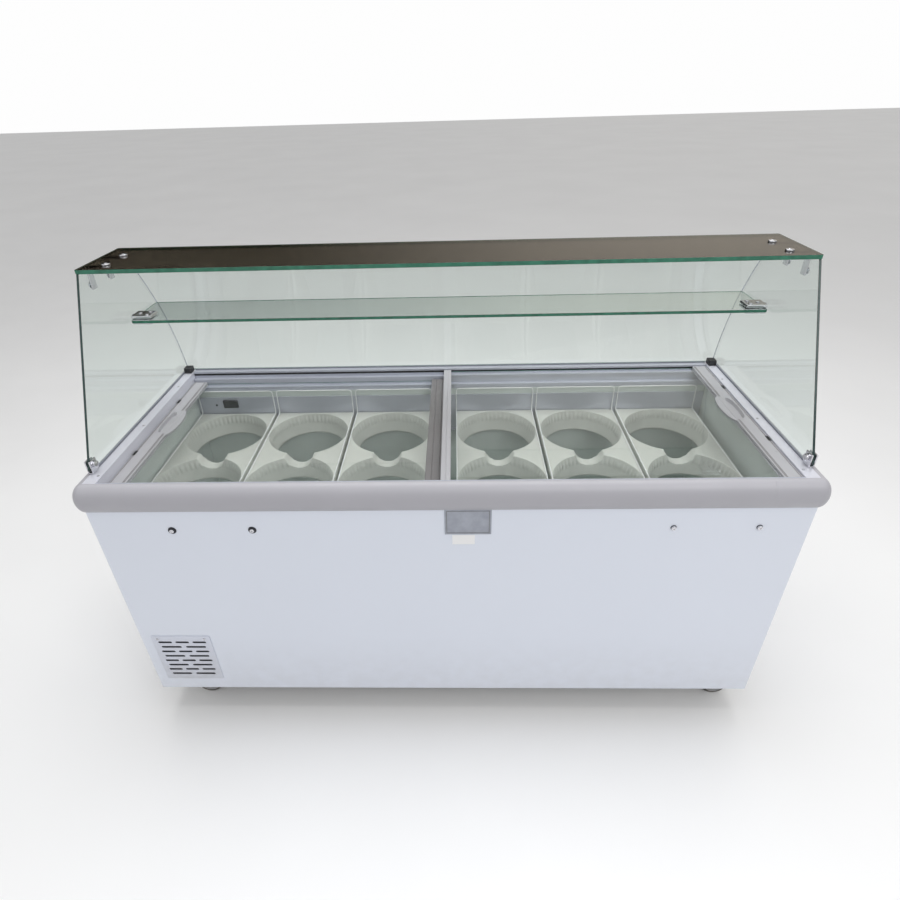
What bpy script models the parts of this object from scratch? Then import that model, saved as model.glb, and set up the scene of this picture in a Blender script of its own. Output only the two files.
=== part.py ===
"""Twelve-tub dipping chest freezer with sliding glass lids and a glass guard.

Frame: +Z up, origin on the floor under the middle of the cabinet.
-Y is the operator's side, with the vent grille; +Y is the customer's side, with the curved glass.
All lengths are in metres.
"""
import math

import bmesh
import bpy
from mathutils import Matrix, Vector

# Driving dimensions
CREST_Z = 0.870            # height of the aluminium frame's top face
CREST_HALF_X = 0.870       # the frame's outer edge, half its length
CREST_HALF_Y = 0.3225      # the frame's outer edge, half its width
BUMPER_REACH = 0.030       # how far the bumper stands out from the frame
BUMPER_HEIGHT = 0.074
CABINET_INSET = 0.013      # the cabinet's faces, out from the frame's outer edge
BASE_Z = 0.105             # underside of the cabinet, on top of the casters
GUARD_HEIGHT = 0.4425      # top of the top glass above the frame
LINER_HALF_X = 0.835
LINER_HALF_Y = 0.264
TRAY_PITCH = 0.2624        # three trays on each side of the middle gap
MIDDLE_GAP = 0.079
WHEEL_RADIUS = 0.0375

# Sheet, glass and clearances
SHEET = 0.0015
EXTRUSION = 0.0025
GLASS = 0.006
SHELF_GLASS = 0.008
TOP_GLASS = 0.010
FIT_GAP = 0.0004

CABINET_X = CREST_HALF_X + CABINET_INSET
CABINET_Y = CREST_HALF_Y + CABINET_INSET
PANEL_TOP = CREST_Z - BUMPER_HEIGHT - FIT_GAP
RAIL_FOOT_Z = CREST_Z - 0.060
SIDE_GLASS_X = CREST_HALF_X - 0.0025
SIDE_GLASS_INNER_X = SIDE_GLASS_X - GLASS / 2
GUARD_BASE_Z = CREST_Z + 0.0035
TOP_GLASS_Z = CREST_Z + GUARD_HEIGHT - TOP_GLASS
COMPARTMENT_X = -0.480     # right wall of the compressor's space
COMPARTMENT_Z = 0.400      # roof of the compressor's space

parts = bpy.data.collections.new("dipping_freezer")
cutters = bpy.data.collections.new("cutters")


# ---------------------------------------------------------------- helpers

def clear_scene():
    for item in list(bpy.data.objects):
        bpy.data.objects.remove(item, do_unlink=True)
    for group in (parts, cutters):
        bpy.context.scene.collection.children.link(group)


def finish_material(name, color, roughness, metallic=0.0, alpha=1.0):
    made = bpy.data.materials.new(name)
    made.use_nodes = True
    shader = made.node_tree.nodes["Principled BSDF"]
    shader.inputs["Base Color"].default_value = (*color, 1.0)
    shader.inputs["Roughness"].default_value = roughness
    shader.inputs["Metallic"].default_value = metallic
    shader.inputs["Alpha"].default_value = alpha
    return made


def own_material(piece, look):
    """Each piece gets its own copy of a look."""
    made = LOOKS[look].copy()
    made.name = piece.name + "_finish"
    piece.data.materials.append(made)


def new_piece(name, mesh, location=(0, 0, 0), look=None):
    piece = bpy.data.objects.new(name, mesh)
    piece.location = location
    if look:
        parts.objects.link(piece)
        own_material(piece, look)
    else:
        cutters.objects.link(piece)
        piece.hide_render = True
        piece.display_type = "WIRE"
    return piece


def mesh_from(name, bm):
    bmesh.ops.recalc_face_normals(bm, faces=bm.faces)
    mesh = bpy.data.meshes.new(name)
    bm.to_mesh(mesh)
    bm.free()
    return mesh


def box(name, low, high, look=None, bevel=0.0):
    """A block between two corners, its origin at its middle."""
    low, high = Vector(low), Vector(high)
    size = high - low
    bm = bmesh.new()
    bmesh.ops.create_cube(bm, size=1.0)
    bmesh.ops.scale(bm, vec=size, verts=bm.verts)
    piece = new_piece(name, mesh_from(name, bm), (low + high) / 2, look)
    if bevel:
        edges = piece.modifiers.new("edges", "BEVEL")
        edges.width = bevel
        edges.segments = 2
        edges.limit_method = "ANGLE"
    return piece


def cylinder(name, start, end, radius, look=None, sides=20, end_radius=None):
    """A round bar or cone from start to end, its origin at its middle."""
    start, end = Vector(start), Vector(end)
    along = end - start
    bm = bmesh.new()
    bmesh.ops.create_cone(bm, cap_ends=True, segments=sides, radius1=radius,
                          radius2=radius if end_radius is None else end_radius, depth=along.length)
    turn = Vector((0, 0, 1)).rotation_difference(along).to_matrix()
    bmesh.ops.rotate(bm, cent=(0, 0, 0), matrix=turn, verts=bm.verts)
    mesh = mesh_from(name, bm)
    mesh.shade_smooth()
    mesh.set_sharp_from_angle(angle=math.radians(35))
    return new_piece(name, mesh, (start + end) / 2, look)


PLANES = {
    "XY": (0.0, 0.0, 0.0),
    "XZ": (math.pi / 2, 0.0, 0.0),
    "YZ": (math.pi / 2, 0.0, math.pi / 2),
}


def outline_solid(name, outline, thickness, plane, location, look=None, holes=()):
    """A flat outline with holes, given thickness across its plane and set at location."""
    curve = bpy.data.curves.new(name, "CURVE")
    curve.dimensions = "2D"
    curve.fill_mode = "BOTH"
    curve.extrude = thickness / 2
    for loop in (outline, *holes):
        spline = curve.splines.new("POLY")
        spline.points.add(len(loop) - 1)
        spline.use_cyclic_u = True
        for point, (a, b) in zip(spline.points, loop):
            point.co = (a, b, 0.0, 1.0)
    maker = bpy.data.objects.new(name + "_outline", curve)
    maker.rotation_euler = PLANES[plane]
    cutters.objects.link(maker)
    mesh = welded_mesh(name, maker)
    return new_piece(name, mesh, location, look)


def welded_mesh(name, maker):
    """The closed mesh of a curve object, which is then removed."""
    bpy.context.view_layer.update()
    seen = maker.evaluated_get(bpy.context.evaluated_depsgraph_get())
    raw = bpy.data.meshes.new_from_object(seen)
    bm = bmesh.new()
    bm.from_mesh(raw)
    bmesh.ops.remove_doubles(bm, verts=bm.verts, dist=1e-6)
    bmesh.ops.transform(bm, matrix=maker.matrix_world, verts=bm.verts)
    bpy.data.objects.remove(maker, do_unlink=True)
    bpy.data.meshes.remove(raw)
    mesh = mesh_from(name, bm)
    mesh.materials.clear()
    return mesh


def boolean(piece, other, operation):
    step = piece.modifiers.new(operation.lower(), "BOOLEAN")
    step.operation = operation
    step.solver = "EXACT"
    step.object = other


def cut(piece, *others):
    for other in others:
        boolean(piece, other, "DIFFERENCE")


def join(piece, *others):
    for other in others:
        boolean(piece, other, "UNION")


def ellipse_arc(center, semi_a, semi_b, start, end, steps):
    """Points on an ellipse from angle start to end, in degrees."""
    points = []
    for i in range(steps + 1):
        angle = math.radians(start + (end - start) * i / steps)
        points.append((center[0] + semi_a * math.cos(angle), center[1] + semi_b * math.sin(angle)))
    return points


def slot_outline(center_a, center_b, length, height, steps=2):
    """A slot with round ends."""
    radius = height / 2
    reach = length / 2 - radius
    right = ellipse_arc((center_a + reach, center_b), radius, radius, -90, 90, steps)
    left = ellipse_arc((center_a - reach, center_b), radius, radius, 90, 270, steps)
    return right + left


def rounded_rectangle(half_a, half_b, radius, steps=4):
    points = []
    for sign_a, sign_b, start in ((1, 1, 0), (-1, 1, 90), (-1, -1, 180), (1, -1, 270)):
        middle = (sign_a * (half_a - radius), sign_b * (half_b - radius))
        points += ellipse_arc(middle, radius, radius, start, start + 90, steps)
    return points


def turned(name, profile, location, look, steps=32, closed=False):
    """A solid turned about a vertical axis from a (radius, height) profile, top to bottom."""
    bm = bmesh.new()
    made = [bm.verts.new((radius, 0.0, height)) for radius, height in profile]
    following = made[1:] + made[:1] if closed else made[1:]
    for first, second in zip(made, following):
        bm.edges.new((first, second))
    mesh = bpy.data.meshes.new(name)
    bm.to_mesh(mesh)
    bm.free()
    piece = new_piece(name, mesh, location, look)
    screw = piece.modifiers.new("turn", "SCREW")
    screw.steps = steps
    screw.render_steps = steps
    screw.use_merge_vertices = True
    screw.merge_threshold = 0.00001
    return piece


# ---------------------------------------------------------------- cabinet

PAN_DEPTH = 0.022


def make_base_pan():
    half_x = CABINET_X - SHEET - FIT_GAP
    half_y = CABINET_Y - SHEET - FIT_GAP
    outline = rounded_rectangle(half_x, half_y, 0.005, 3)
    pan = outline_solid("base_pan", outline, PAN_DEPTH, "XY", (0, 0, BASE_Z + PAN_DEPTH / 2), "galvanised")
    wall = 0.002
    hollow = box("pan_hollow", (-half_x + wall, -half_y + wall, BASE_Z + wall),
                 (half_x - wall, half_y - wall, BASE_Z + PAN_DEPTH + 0.01))
    cut(pan, hollow)


GRILLE_X = -0.765
GRILLE_Z = 0.245
GRILLE_HALF = (0.085, 0.095)
PANEL_RETURN = 0.018
PANEL_CORNER = 0.006


def panel_plan(side):
    """Plan of a folded panel: a long face with a rounded corner and a short return at each end."""
    outer, inner = [], []
    for end, start in ((-1, 180), (1, 270)):
        middle = (end * (CABINET_X - PANEL_CORNER), -(CABINET_Y - PANEL_CORNER))
        outer += ellipse_arc(middle, PANEL_CORNER, PANEL_CORNER, start, start + 90, 4)
        inside = PANEL_CORNER - SHEET
        inner += ellipse_arc(middle, inside, inside, start, start + 90, 4)
    tip_y = -(CABINET_Y - PANEL_RETURN)
    outline = [(-CABINET_X, tip_y), *outer, (CABINET_X, tip_y)]
    outline += [(CABINET_X - SHEET, tip_y), *reversed(inner), (-CABINET_X + SHEET, tip_y)]
    return [(x, -side * y) for x, y in outline]


def make_panels():
    height = PANEL_TOP - BASE_Z
    middle_z = (PANEL_TOP + BASE_Z) / 2
    for name, side in (("front_panel", -1), ("rear_panel", 1)):
        outline_solid(name, panel_plan(side), height, "XY", (0, 0, middle_z), "white_paint")
    vent_x, vent_z = GRILLE_HALF[0] - 0.008, GRILLE_HALF[1] - 0.014
    vent = box("vent_opening", (GRILLE_X - vent_x, -CABINET_Y - 0.01, GRILLE_Z - vent_z),
               (GRILLE_X + vent_x, -CABINET_Y + 0.01, GRILLE_Z + vent_z))
    cut(bpy.data.objects["front_panel"], vent)
    half_y = CABINET_Y - PANEL_RETURN - FIT_GAP
    for name, side in (("left_panel", -1), ("right_panel", 1)):
        low, high = sorted((side * CABINET_X, side * (CABINET_X - SHEET)))
        box(name, (low, -half_y, BASE_Z), (high, half_y, PANEL_TOP), "white_paint")


def make_vent_grille():
    """A slotted plate over the vent; rows of three slots alternate with rows of two."""
    half_x, half_z = GRILLE_HALF
    plate = rounded_rectangle(half_x, half_z, 0.004)
    slots = []
    for row in range(8):
        height = half_z - 0.026 - row * 0.020
        count, length, pitch = ((3, 0.040, 0.050), (2, 0.059, 0.0715))[row % 2]
        for k in range(count):
            slots.append(slot_outline((k - (count - 1) / 2) * pitch, height, length, 0.008))
    out = CABINET_Y + FIT_GAP + SHEET / 2
    outline_solid("vent_grille", plate, SHEET, "XZ", (GRILLE_X, -out, GRILLE_Z), "white_paint", slots)


LINER_FLOOR = 0.190
HUMP_X = COMPARTMENT_X + 0.045
HUMP_Z = COMPARTMENT_Z + 0.050


def liner_space(name, grow, top, look=None):
    """The well's space grown by a wall: a trough with a raised floor over the compressor."""
    side = LINER_HALF_X + grow
    section = [(-side, HUMP_Z - grow), (HUMP_X - grow, HUMP_Z - grow), (HUMP_X - grow, LINER_FLOOR - grow),
               (side, LINER_FLOOR - grow), (side, top), (-side, top)]
    return outline_solid(name, section, 2 * (LINER_HALF_Y + grow), "XZ", (0, 0, 0), look)


def make_liner():
    top = RAIL_FOOT_Z - FIT_GAP
    liner = liner_space("inner_liner", 0.002, top, "liner_plastic")
    cut(liner, liner_space("liner_hollow", 0.0, top + 0.02))


def make_foam():
    """Foamed insulation round the liner, with a 12 mm jacket for the evaporator tube."""
    half_x = CABINET_X - SHEET - 0.003
    half_y = CABINET_Y - SHEET - 0.003
    low, high = BASE_Z + PAN_DEPTH + 0.002, RAIL_FOOT_Z - 0.001
    outer = [(-half_x, COMPARTMENT_Z), (COMPARTMENT_X, COMPARTMENT_Z), (COMPARTMENT_X, low),
             (half_x, low), (half_x, high), (-half_x, high)]
    foam = outline_solid("insulation_foam", outer, 2 * half_y, "XZ", (0, 0, 0), "foam")
    cut(foam, liner_space("foam_hollow", 0.014, high + 0.02))


def make_evaporator():
    """One tube wound round the outside of the liner, above the hump."""
    half_x, half_y = LINER_HALF_X + 0.008, LINER_HALF_Y + 0.008
    low, pitch, turns = 0.500, 0.060, 4
    plan = rounded_rectangle(half_x, half_y, 0.006, 1)
    count = len(plan) * turns
    curve = bpy.data.curves.new("evaporator_coil", "CURVE")
    curve.dimensions = "3D"
    curve.bevel_depth = 0.004
    curve.bevel_resolution = 2
    curve.use_fill_caps = True
    spline = curve.splines.new("POLY")
    spline.points.add(count - 1)
    for i in range(count):
        x, y = plan[i % len(plan)]
        spline.points[i].co = (x, y, low + pitch * i / len(plan), 1.0)
    coil = bpy.data.objects.new("evaporator_coil", curve)
    parts.objects.link(coil)
    own_material(coil, "copper")


# ---------------------------------------------------------------- frame and bumper

FRONT_LIP = 0.004          # top of the front track, hidden from the operator by the bumper
REAR_FLANGE = 0.028        # top of the rear track, which carries the customer glass
LEDGE = 0.015
TRACK_DEPTH = 0.058        # from the frame's outer edge to the liner
UPPER_LEDGE_Z = CREST_Z - 0.020
LOWER_LEDGE_Z = CREST_Z - 0.045
END_RAIL = 0.033


def make_tracks():
    """Lid frame: two stepped tracks along X between two channel rails along Y."""
    skin, foot, depth = EXTRUSION, RAIL_FOOT_Z, TRACK_DEPTH
    length = 2 * (CREST_HALF_X - END_RAIL - FIT_GAP)
    for name, side, first in (("track_front", -1, FRONT_LIP), ("track_rear", 1, REAR_FLANGE)):
        second = first + LEDGE
        steps = [(0, CREST_Z), (first, CREST_Z), (first, UPPER_LEDGE_Z), (second, UPPER_LEDGE_Z),
                 (second, LOWER_LEDGE_Z), (depth, LOWER_LEDGE_Z), (depth, foot), (depth - skin, foot),
                 (depth - skin, LOWER_LEDGE_Z - skin), (second - skin, LOWER_LEDGE_Z - skin),
                 (second - skin, UPPER_LEDGE_Z - skin), (skin, UPPER_LEDGE_Z - skin), (skin, foot), (0, foot)]
        if first > LEDGE:
            steps[11:12] = [(first - skin, UPPER_LEDGE_Z - skin), (first - skin, CREST_Z - skin),
                            (skin, CREST_Z - skin)]
        section = [(side * (CREST_HALF_Y - a), b) for a, b in steps]
        outline_solid(name, section, length, "YZ", (0, 0, 0), "aluminium")
    channel = [(0, CREST_Z), (END_RAIL, CREST_Z), (END_RAIL, foot), (END_RAIL - skin, foot),
               (END_RAIL - skin, CREST_Z - skin), (skin, CREST_Z - skin), (skin, foot), (0, foot)]
    for name, side in (("track_left", -1), ("track_right", 1)):
        section = [(side * (CREST_HALF_X - a), b) for a, b in channel]
        outline_solid(name, section, 2 * CREST_HALF_Y, "XZ", (0, 0, 0), "aluminium")


BUMPER_SEAM_X = 0.764


def bumper_section():
    """C-shaped bullnose section as (distance out from the frame, height below its top)."""
    skin = 0.003
    widest = 0.042
    lip = CABINET_INSET + FIT_GAP
    reach, root = BUMPER_REACH, FIT_GAP
    outer = ellipse_arc((root, -widest), reach - root, widest, 90, 0, 7)
    outer += ellipse_arc((lip, -widest), reach - lip, BUMPER_HEIGHT - widest, 0, -90, 5)[1:]
    inner = ellipse_arc((lip, -widest), reach - lip - skin, BUMPER_HEIGHT - widest - skin, -90, 0, 4)
    inner += ellipse_arc((root, -widest), reach - root - skin, widest - skin, 0, 90, 5)[1:]
    return outer + inner


def make_bumpers():
    section = bumper_section()
    length = 2 * (BUMPER_SEAM_X - FIT_GAP)
    for name, side in (("bumper_front", -1), ("bumper_rear", 1)):
        placed = [(side * (CREST_HALF_Y + a), CREST_Z + b) for a, b in section]
        outline_solid(name, placed, length, "YZ", (0, 0, 0), "bumper_plastic")
    for name, side in (("bumper_left", -1), ("bumper_right", 1)):
        make_end_bumper(name, side, section)


def make_end_bumper(name, side, section):
    """U-shaped end bumper: the section carried round two corners."""
    stations = []
    for corner_y, start in ((-CREST_HALF_Y, -90), (CREST_HALF_Y, 0)):
        turn = [start + 90 * i / 6 for i in range(7)]
        stations += [(CREST_HALF_X, corner_y, angle) for angle in turn]
    stations = [(BUMPER_SEAM_X, -CREST_HALF_Y, -90)] + stations + [(BUMPER_SEAM_X, CREST_HALF_Y, 90)]
    bm = bmesh.new()
    rings = []
    for x, y, angle in stations:
        out = (math.cos(math.radians(angle)), math.sin(math.radians(angle)))
        rings.append([bm.verts.new((side * (x + a * out[0]), y + a * out[1], CREST_Z + b))
                      for a, b in section])
    for first, second in zip(rings, rings[1:]):
        for k in range(len(section)):
            n = (k + 1) % len(section)
            bm.faces.new((first[k], first[n], second[n], second[k]))
    bm.faces.new(rings[0])
    bm.faces.new(reversed(rings[-1]))
    bmesh.ops.triangulate(bm, faces=bm.faces)
    mesh = mesh_from(name, bm)
    mesh.shade_smooth()
    mesh.set_sharp_from_angle(angle=math.radians(35))
    new_piece(name, mesh, (0, 0, 0), "bumper_plastic")


# ---------------------------------------------------------------- guard

NEAR_EDGE = ((-0.2905, GUARD_BASE_Z), (-0.0705, TOP_GLASS_Z - FIT_GAP))
FAR_EDGE = ((0.3200, GUARD_BASE_Z), (0.1395, TOP_GLASS_Z - FIT_GAP))
FAR_RADIUS = 0.890


def far_arc(inset, steps=16):
    """The customer glass's section, bottom to top, set in from its outer face by inset."""
    bottom, top = (Vector(p) for p in FAR_EDGE)
    chord = top - bottom
    half = chord.length / 2
    middle = (bottom + top) / 2
    inward = Vector((-chord.y, chord.x)).normalized()
    center = middle + inward * math.sqrt(FAR_RADIUS ** 2 - half ** 2)
    start = math.atan2(bottom.y - center.y, bottom.x - center.x)
    end = math.atan2(top.y - center.y, top.x - center.x)
    radius = FAR_RADIUS - inset
    points = []
    for i in range(steps + 1):
        angle = start + (end - start) * i / steps
        points.append((center.x + radius * math.cos(angle), center.y + radius * math.sin(angle)))
    return points


BRACKET_Y = (-0.0300, 0.0565)
BRACKET_X = 0.815
BRACKET_DROP = 0.0375
BOLT_HOLE = 0.0055
SHELF_Y = (0.0715, 0.2300)
SHELF_Z = CREST_Z + 0.2546
CLAMP_Y = 0.108


def bolt_hole(a, b):
    return ellipse_arc((a, b), BOLT_HOLE, BOLT_HOLE, 0, 330, 11)


def make_glasses():
    clamp_z = SHELF_Z + SHELF_GLASS / 2
    for name, side in (("side_glass_left", -1), ("side_glass_right", 1)):
        foot = ellipse_arc((NEAR_EDGE[0][0] + 0.013, GUARD_BASE_Z + 0.008), 0.0095, 0.008, 190, 270, 4)
        outline = foot + far_arc(0.0) + [NEAR_EDGE[1]]
        holes = [bolt_hole(y, TOP_GLASS_Z - BRACKET_DROP) for y in BRACKET_Y]
        holes.append(bolt_hole(CLAMP_Y, clamp_z))
        outline_solid(name, outline, GLASS, "YZ", (side * SIDE_GLASS_X, 0, 0), "glass", holes)

    section = far_arc(0.0) + far_arc(GLASS)[::-1]
    width = 2 * (SIDE_GLASS_INNER_X - 0.001)
    outline_solid("customer_glass", section, width, "YZ", (0, 0, 0), "glass")

    near_y, far_y = NEAR_EDGE[1][0] - 0.0015, FAR_EDGE[1][0] + 0.0025
    middle_y = (near_y + far_y) / 2
    outline = rounded_rectangle(CREST_HALF_X + 0.003, (far_y - near_y) / 2, 0.006)
    holes = [bolt_hole(side * BRACKET_X, y - middle_y) for side in (-1, 1) for y in BRACKET_Y]
    outline_solid("top_glass", outline, TOP_GLASS, "XY", (0, middle_y, TOP_GLASS_Z + TOP_GLASS / 2),
                  "glass", holes)

    outline = rounded_rectangle(SIDE_GLASS_INNER_X - 0.0045, (SHELF_Y[1] - SHELF_Y[0]) / 2, 0.004)
    outline_solid("shelf_glass", outline, SHELF_GLASS, "XY", (0, sum(SHELF_Y) / 2, clamp_z), "glass")


def make_top_bracket(name, side, y):
    """Chrome angle with a pad on the outside of the side glass and one on top of the top glass."""
    face, outside = SIDE_GLASS_INNER_X - FIT_GAP, SIDE_GLASS_X + GLASS / 2 + FIT_GAP
    under, over = TOP_GLASS_Z - FIT_GAP, TOP_GLASS_Z + TOP_GLASS + FIT_GAP
    bolt_z = TOP_GLASS_Z - BRACKET_DROP
    leg, half, tip_x = 0.0040, 0.010, BRACKET_X - 0.010
    angle = [(side * face, under), (side * tip_x, under), (side * tip_x, under - leg),
             (side * (face - leg), under - leg), (side * (face - leg), bolt_z - half),
             (side * face, bolt_z - half)]
    bracket = outline_solid(name, angle, 2 * half, "XZ", (0, y, 0), "chrome")
    top_bolt = cylinder(name + "_top_bolt", (side * BRACKET_X, y, under - 0.002),
                        (side * BRACKET_X, y, over + 0.002), 0.0045, sides=12)
    top_pad = cylinder(name + "_top_pad", (side * BRACKET_X, y, over),
                       (side * BRACKET_X, y, over + 0.004), half)
    side_bolt = cylinder(name + "_side_bolt", (side * (face - 0.002), y, bolt_z),
                         (side * (outside + 0.002), y, bolt_z), 0.0045, sides=12)
    side_pad = cylinder(name + "_side_pad", (side * outside, y, bolt_z),
                        (side * (outside + 0.003), y, bolt_z), half - 0.001)
    join(bracket, top_bolt, top_pad, side_bolt, side_pad)


def make_shelf_clamp(name, side):
    """Chrome jaw that grips the end of the shelf, bolted through the side glass."""
    face, outside = SIDE_GLASS_INNER_X - FIT_GAP, SIDE_GLASS_X + GLASS / 2 + FIT_GAP
    middle_z, half, pad_radius = SHELF_Z + SHELF_GLASS / 2, 0.022, 0.011
    jaw, reach, mouth = 0.0080, 0.055, SHELF_GLASS / 2 + FIT_GAP
    tip_x, root_x = face - reach, face - 0.0038
    section = [(side * a, middle_z + b) for a, b in (
        (face, mouth + jaw), (tip_x, mouth + jaw), (tip_x, mouth), (root_x, mouth),
        (root_x, -mouth), (tip_x, -mouth), (tip_x, -mouth - jaw), (face, -mouth - jaw))]
    clamp = outline_solid(name, section, 2 * half, "XZ", (0, CLAMP_Y, 0), "chrome")
    bolt = cylinder(name + "_bolt", (side * (face - 0.002), CLAMP_Y, middle_z),
                    (side * (outside + 0.002), CLAMP_Y, middle_z), 0.0045, sides=12)
    pad = cylinder(name + "_pad", (side * outside, CLAMP_Y, middle_z),
                   (side * (outside + 0.003), CLAMP_Y, middle_z), pad_radius)
    screw = cylinder(name + "_screw", (side * (face - 0.030), CLAMP_Y, middle_z + mouth + jaw - 0.002),
                     (side * (face - 0.030), CLAMP_Y, middle_z + mouth + jaw + 0.003), 0.005, sides=14)
    join(clamp, bolt, pad, screw)


def make_base_bracket(name, side):
    """Chrome shoe that clasps the near lower corner of a side glass."""
    inner, outer = SIDE_GLASS_INNER_X - FIT_GAP, SIDE_GLASS_X + GLASS / 2 + FIT_GAP
    low, high = CREST_Z + FIT_GAP, CREST_Z + 0.035
    near_y, far_y = -0.283, -0.257
    web_z = GUARD_BASE_Z - FIT_GAP
    section = [(side * a, b) for a, b in (
        (inner - 0.004, low), (outer + 0.004, low), (outer + 0.004, high), (outer, high),
        (outer, web_z), (inner, web_z), (inner, high), (inner - 0.004, high))]
    middle_y = (near_y + far_y) / 2
    shoe = outline_solid(name, section, far_y - near_y, "XZ", (0, middle_y, 0), "chrome")
    knob = cylinder(name + "_knob", (side * (inner - 0.002), middle_y, high - 0.013),
                    (side * (inner - 0.009), middle_y, high - 0.013), 0.009)
    join(shoe, knob)


def make_corner_clip(name, side):
    """Black block that seats the foot of the customer glass at its corner."""
    inner = SIDE_GLASS_INNER_X - FIT_GAP
    low, high = sorted((side * inner, side * (inner - 0.024)))
    box(name, (low, 0.285, CREST_Z + FIT_GAP), (high, 0.3115, CREST_Z + 0.018), "black_plastic", 0.002)


# ---------------------------------------------------------------- lids

LID_THICKNESS = 0.0156
PANE_LOW = 0.0058          # underside of the pane above the lid's underside
PANE = 0.004
LID_PLAY = 0.0015          # between a lid's end and its track
SLOT_DEPTH = 0.008         # how far the pane enters each stile
STILE_EDGE = LINER_HALF_X + 0.001
PULL_STILE = 0.043
PULL_Y = 0.020


def make_lid(label, side, low, span, meeting):
    """One sliding lid: a stile with a finger pull, a meeting stile and the pane between them.

    side is the end with the pull, low the underside's height, span the lid's (near, far) y and
    meeting the (outer, inner) x of the meeting stile.
    """
    near_y, far_y = span
    high, pane_low, pane_high = low + LID_THICKNESS, low + PANE_LOW, low + PANE_LOW + PANE
    inner = side * (STILE_EDGE - PULL_STILE)

    x_low, x_high = sorted((side * STILE_EDGE, inner))
    stile = box(f"lid_{label}_outer_stile", (x_low, near_y, low), (x_high, far_y, high), "lid_plastic")
    lip_low = pane_high + FIT_GAP
    lip_arc = ellipse_arc((-0.004, 0.0), 0.022, 0.072, -90, 90, 12)
    lip_plan = [(inner - side * a, PULL_Y + b) for a, b in lip_arc]
    lip = outline_solid(f"lid_{label}_lip", lip_plan, high - lip_low - 0.001, "XY",
                        (0, 0, (high - 0.001 + lip_low) / 2))
    pocket_plan = ellipse_arc((side * (STILE_EDGE - 0.0215), PULL_Y), 0.0115, 0.058, 0, 345, 23)
    pocket = outline_solid(f"lid_{label}_pocket", pocket_plan, 0.018, "XY", (0, 0, high))
    join(stile, lip)
    cut(stile, pocket, pane_slot(label + "_outer", inner, side, pane_low, pane_high, span))

    outer, root = meeting
    x_low, x_high = sorted((outer, root))
    stile = box(f"lid_{label}_inner_stile", (x_low, near_y, low), (x_high, far_y, high), "lid_plastic")
    facing = min(meeting, key=lambda x: abs(x - inner))
    cut(stile, pane_slot(label + "_inner", facing, -side, pane_low, pane_high, span))

    reach = SLOT_DEPTH - FIT_GAP
    pane = sorted((inner + side * reach, facing - side * reach))
    box(f"lid_{label}_glass", (pane[0], near_y, pane_low), (pane[1], far_y, pane_high), "glass")


def pane_slot(label, x, side, pane_low, pane_high, span):
    """Cutter for the slot that takes the pane's edge, from x into the stile."""
    low, high = sorted((x - side * 0.002, x + side * SLOT_DEPTH))
    return box(f"slot_{label}", (low, span[0] - 0.01, pane_low - FIT_GAP),
               (high, span[1] + 0.01, pane_high + FIT_GAP))


# ---------------------------------------------------------------- tub trays

TRAY_TOP = CREST_Z - 0.1405
TRAY_DEPTH = 0.065
TRAY_HALF_X = 0.126
TRAY_HALF_Y = 0.258
TRAYS_MIDDLE_X = -0.010
COLLAR_Y = 0.130
COLLAR_TOP = 0.122
COLLAR_FOOT = 0.108


def make_tray(index, middle_x):
    """Thin moulded tray with two tapered collars and a thumb notch between them."""
    low, wall = TRAY_TOP - TRAY_DEPTH, 0.003
    name = f"tub_tray_{index}"
    tray = box(name, (middle_x - TRAY_HALF_X, -TRAY_HALF_Y, low),
               (middle_x + TRAY_HALF_X, TRAY_HALF_Y, TRAY_TOP), "tray_plastic")
    under = box(name + "_under", (middle_x - TRAY_HALF_X + wall, -TRAY_HALF_Y + wall, low - 0.01),
                (middle_x + TRAY_HALF_X - wall, TRAY_HALF_Y - wall, TRAY_TOP - wall))
    cut(tray, under)
    flare = (COLLAR_TOP - COLLAR_FOOT) / TRAY_DEPTH
    for side in (-1, 1):
        foot, top = (middle_x, side * COLLAR_Y, low), (middle_x, side * COLLAR_Y, TRAY_TOP - wall / 2)
        sleeve = cylinder(f"{name}_sleeve_{side}", foot, top, COLLAR_FOOT + wall, sides=28,
                          end_radius=COLLAR_TOP + wall - flare * wall / 2)
        join(tray, sleeve)
    for side in (-1, 1):
        foot = (middle_x, side * COLLAR_Y, low - 0.01)
        top = (middle_x, side * COLLAR_Y, TRAY_TOP + 0.01)
        bore = cylinder(f"{name}_bore_{side}", foot, top, COLLAR_FOOT - 0.01 * flare, sides=28,
                        end_radius=COLLAR_TOP + 0.01 * flare)
        cut(tray, bore)
    notch = cylinder(f"{name}_notch", (middle_x, -0.03, TRAY_TOP + 0.007), (middle_x, 0.03, TRAY_TOP + 0.007),
                     0.041, sides=18)
    cut(tray, notch)


def make_tray_rails():
    """Angle on the front and rear liner walls that the trays' ends rest on."""
    inner, wall_y = LINER_HALF_Y - 0.0160, LINER_HALF_Y - FIT_GAP
    low, high = TRAY_TOP - TRAY_DEPTH - FIT_GAP - 0.004, CREST_Z - 0.0805
    for name, side in (("tray_rail_front", -1), ("tray_rail_rear", 1)):
        section = [(side * a, b) for a, b in (
            (wall_y, low), (wall_y, high), (wall_y - 0.0026, high), (wall_y - 0.0026, low + 0.004),
            (inner, low + 0.004), (inner, low))]
        outline_solid(name, section, 2 * (LINER_HALF_X - 0.001), "YZ", (0, 0, 0), "aluminium")


# ---------------------------------------------------------------- refrigeration

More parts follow.
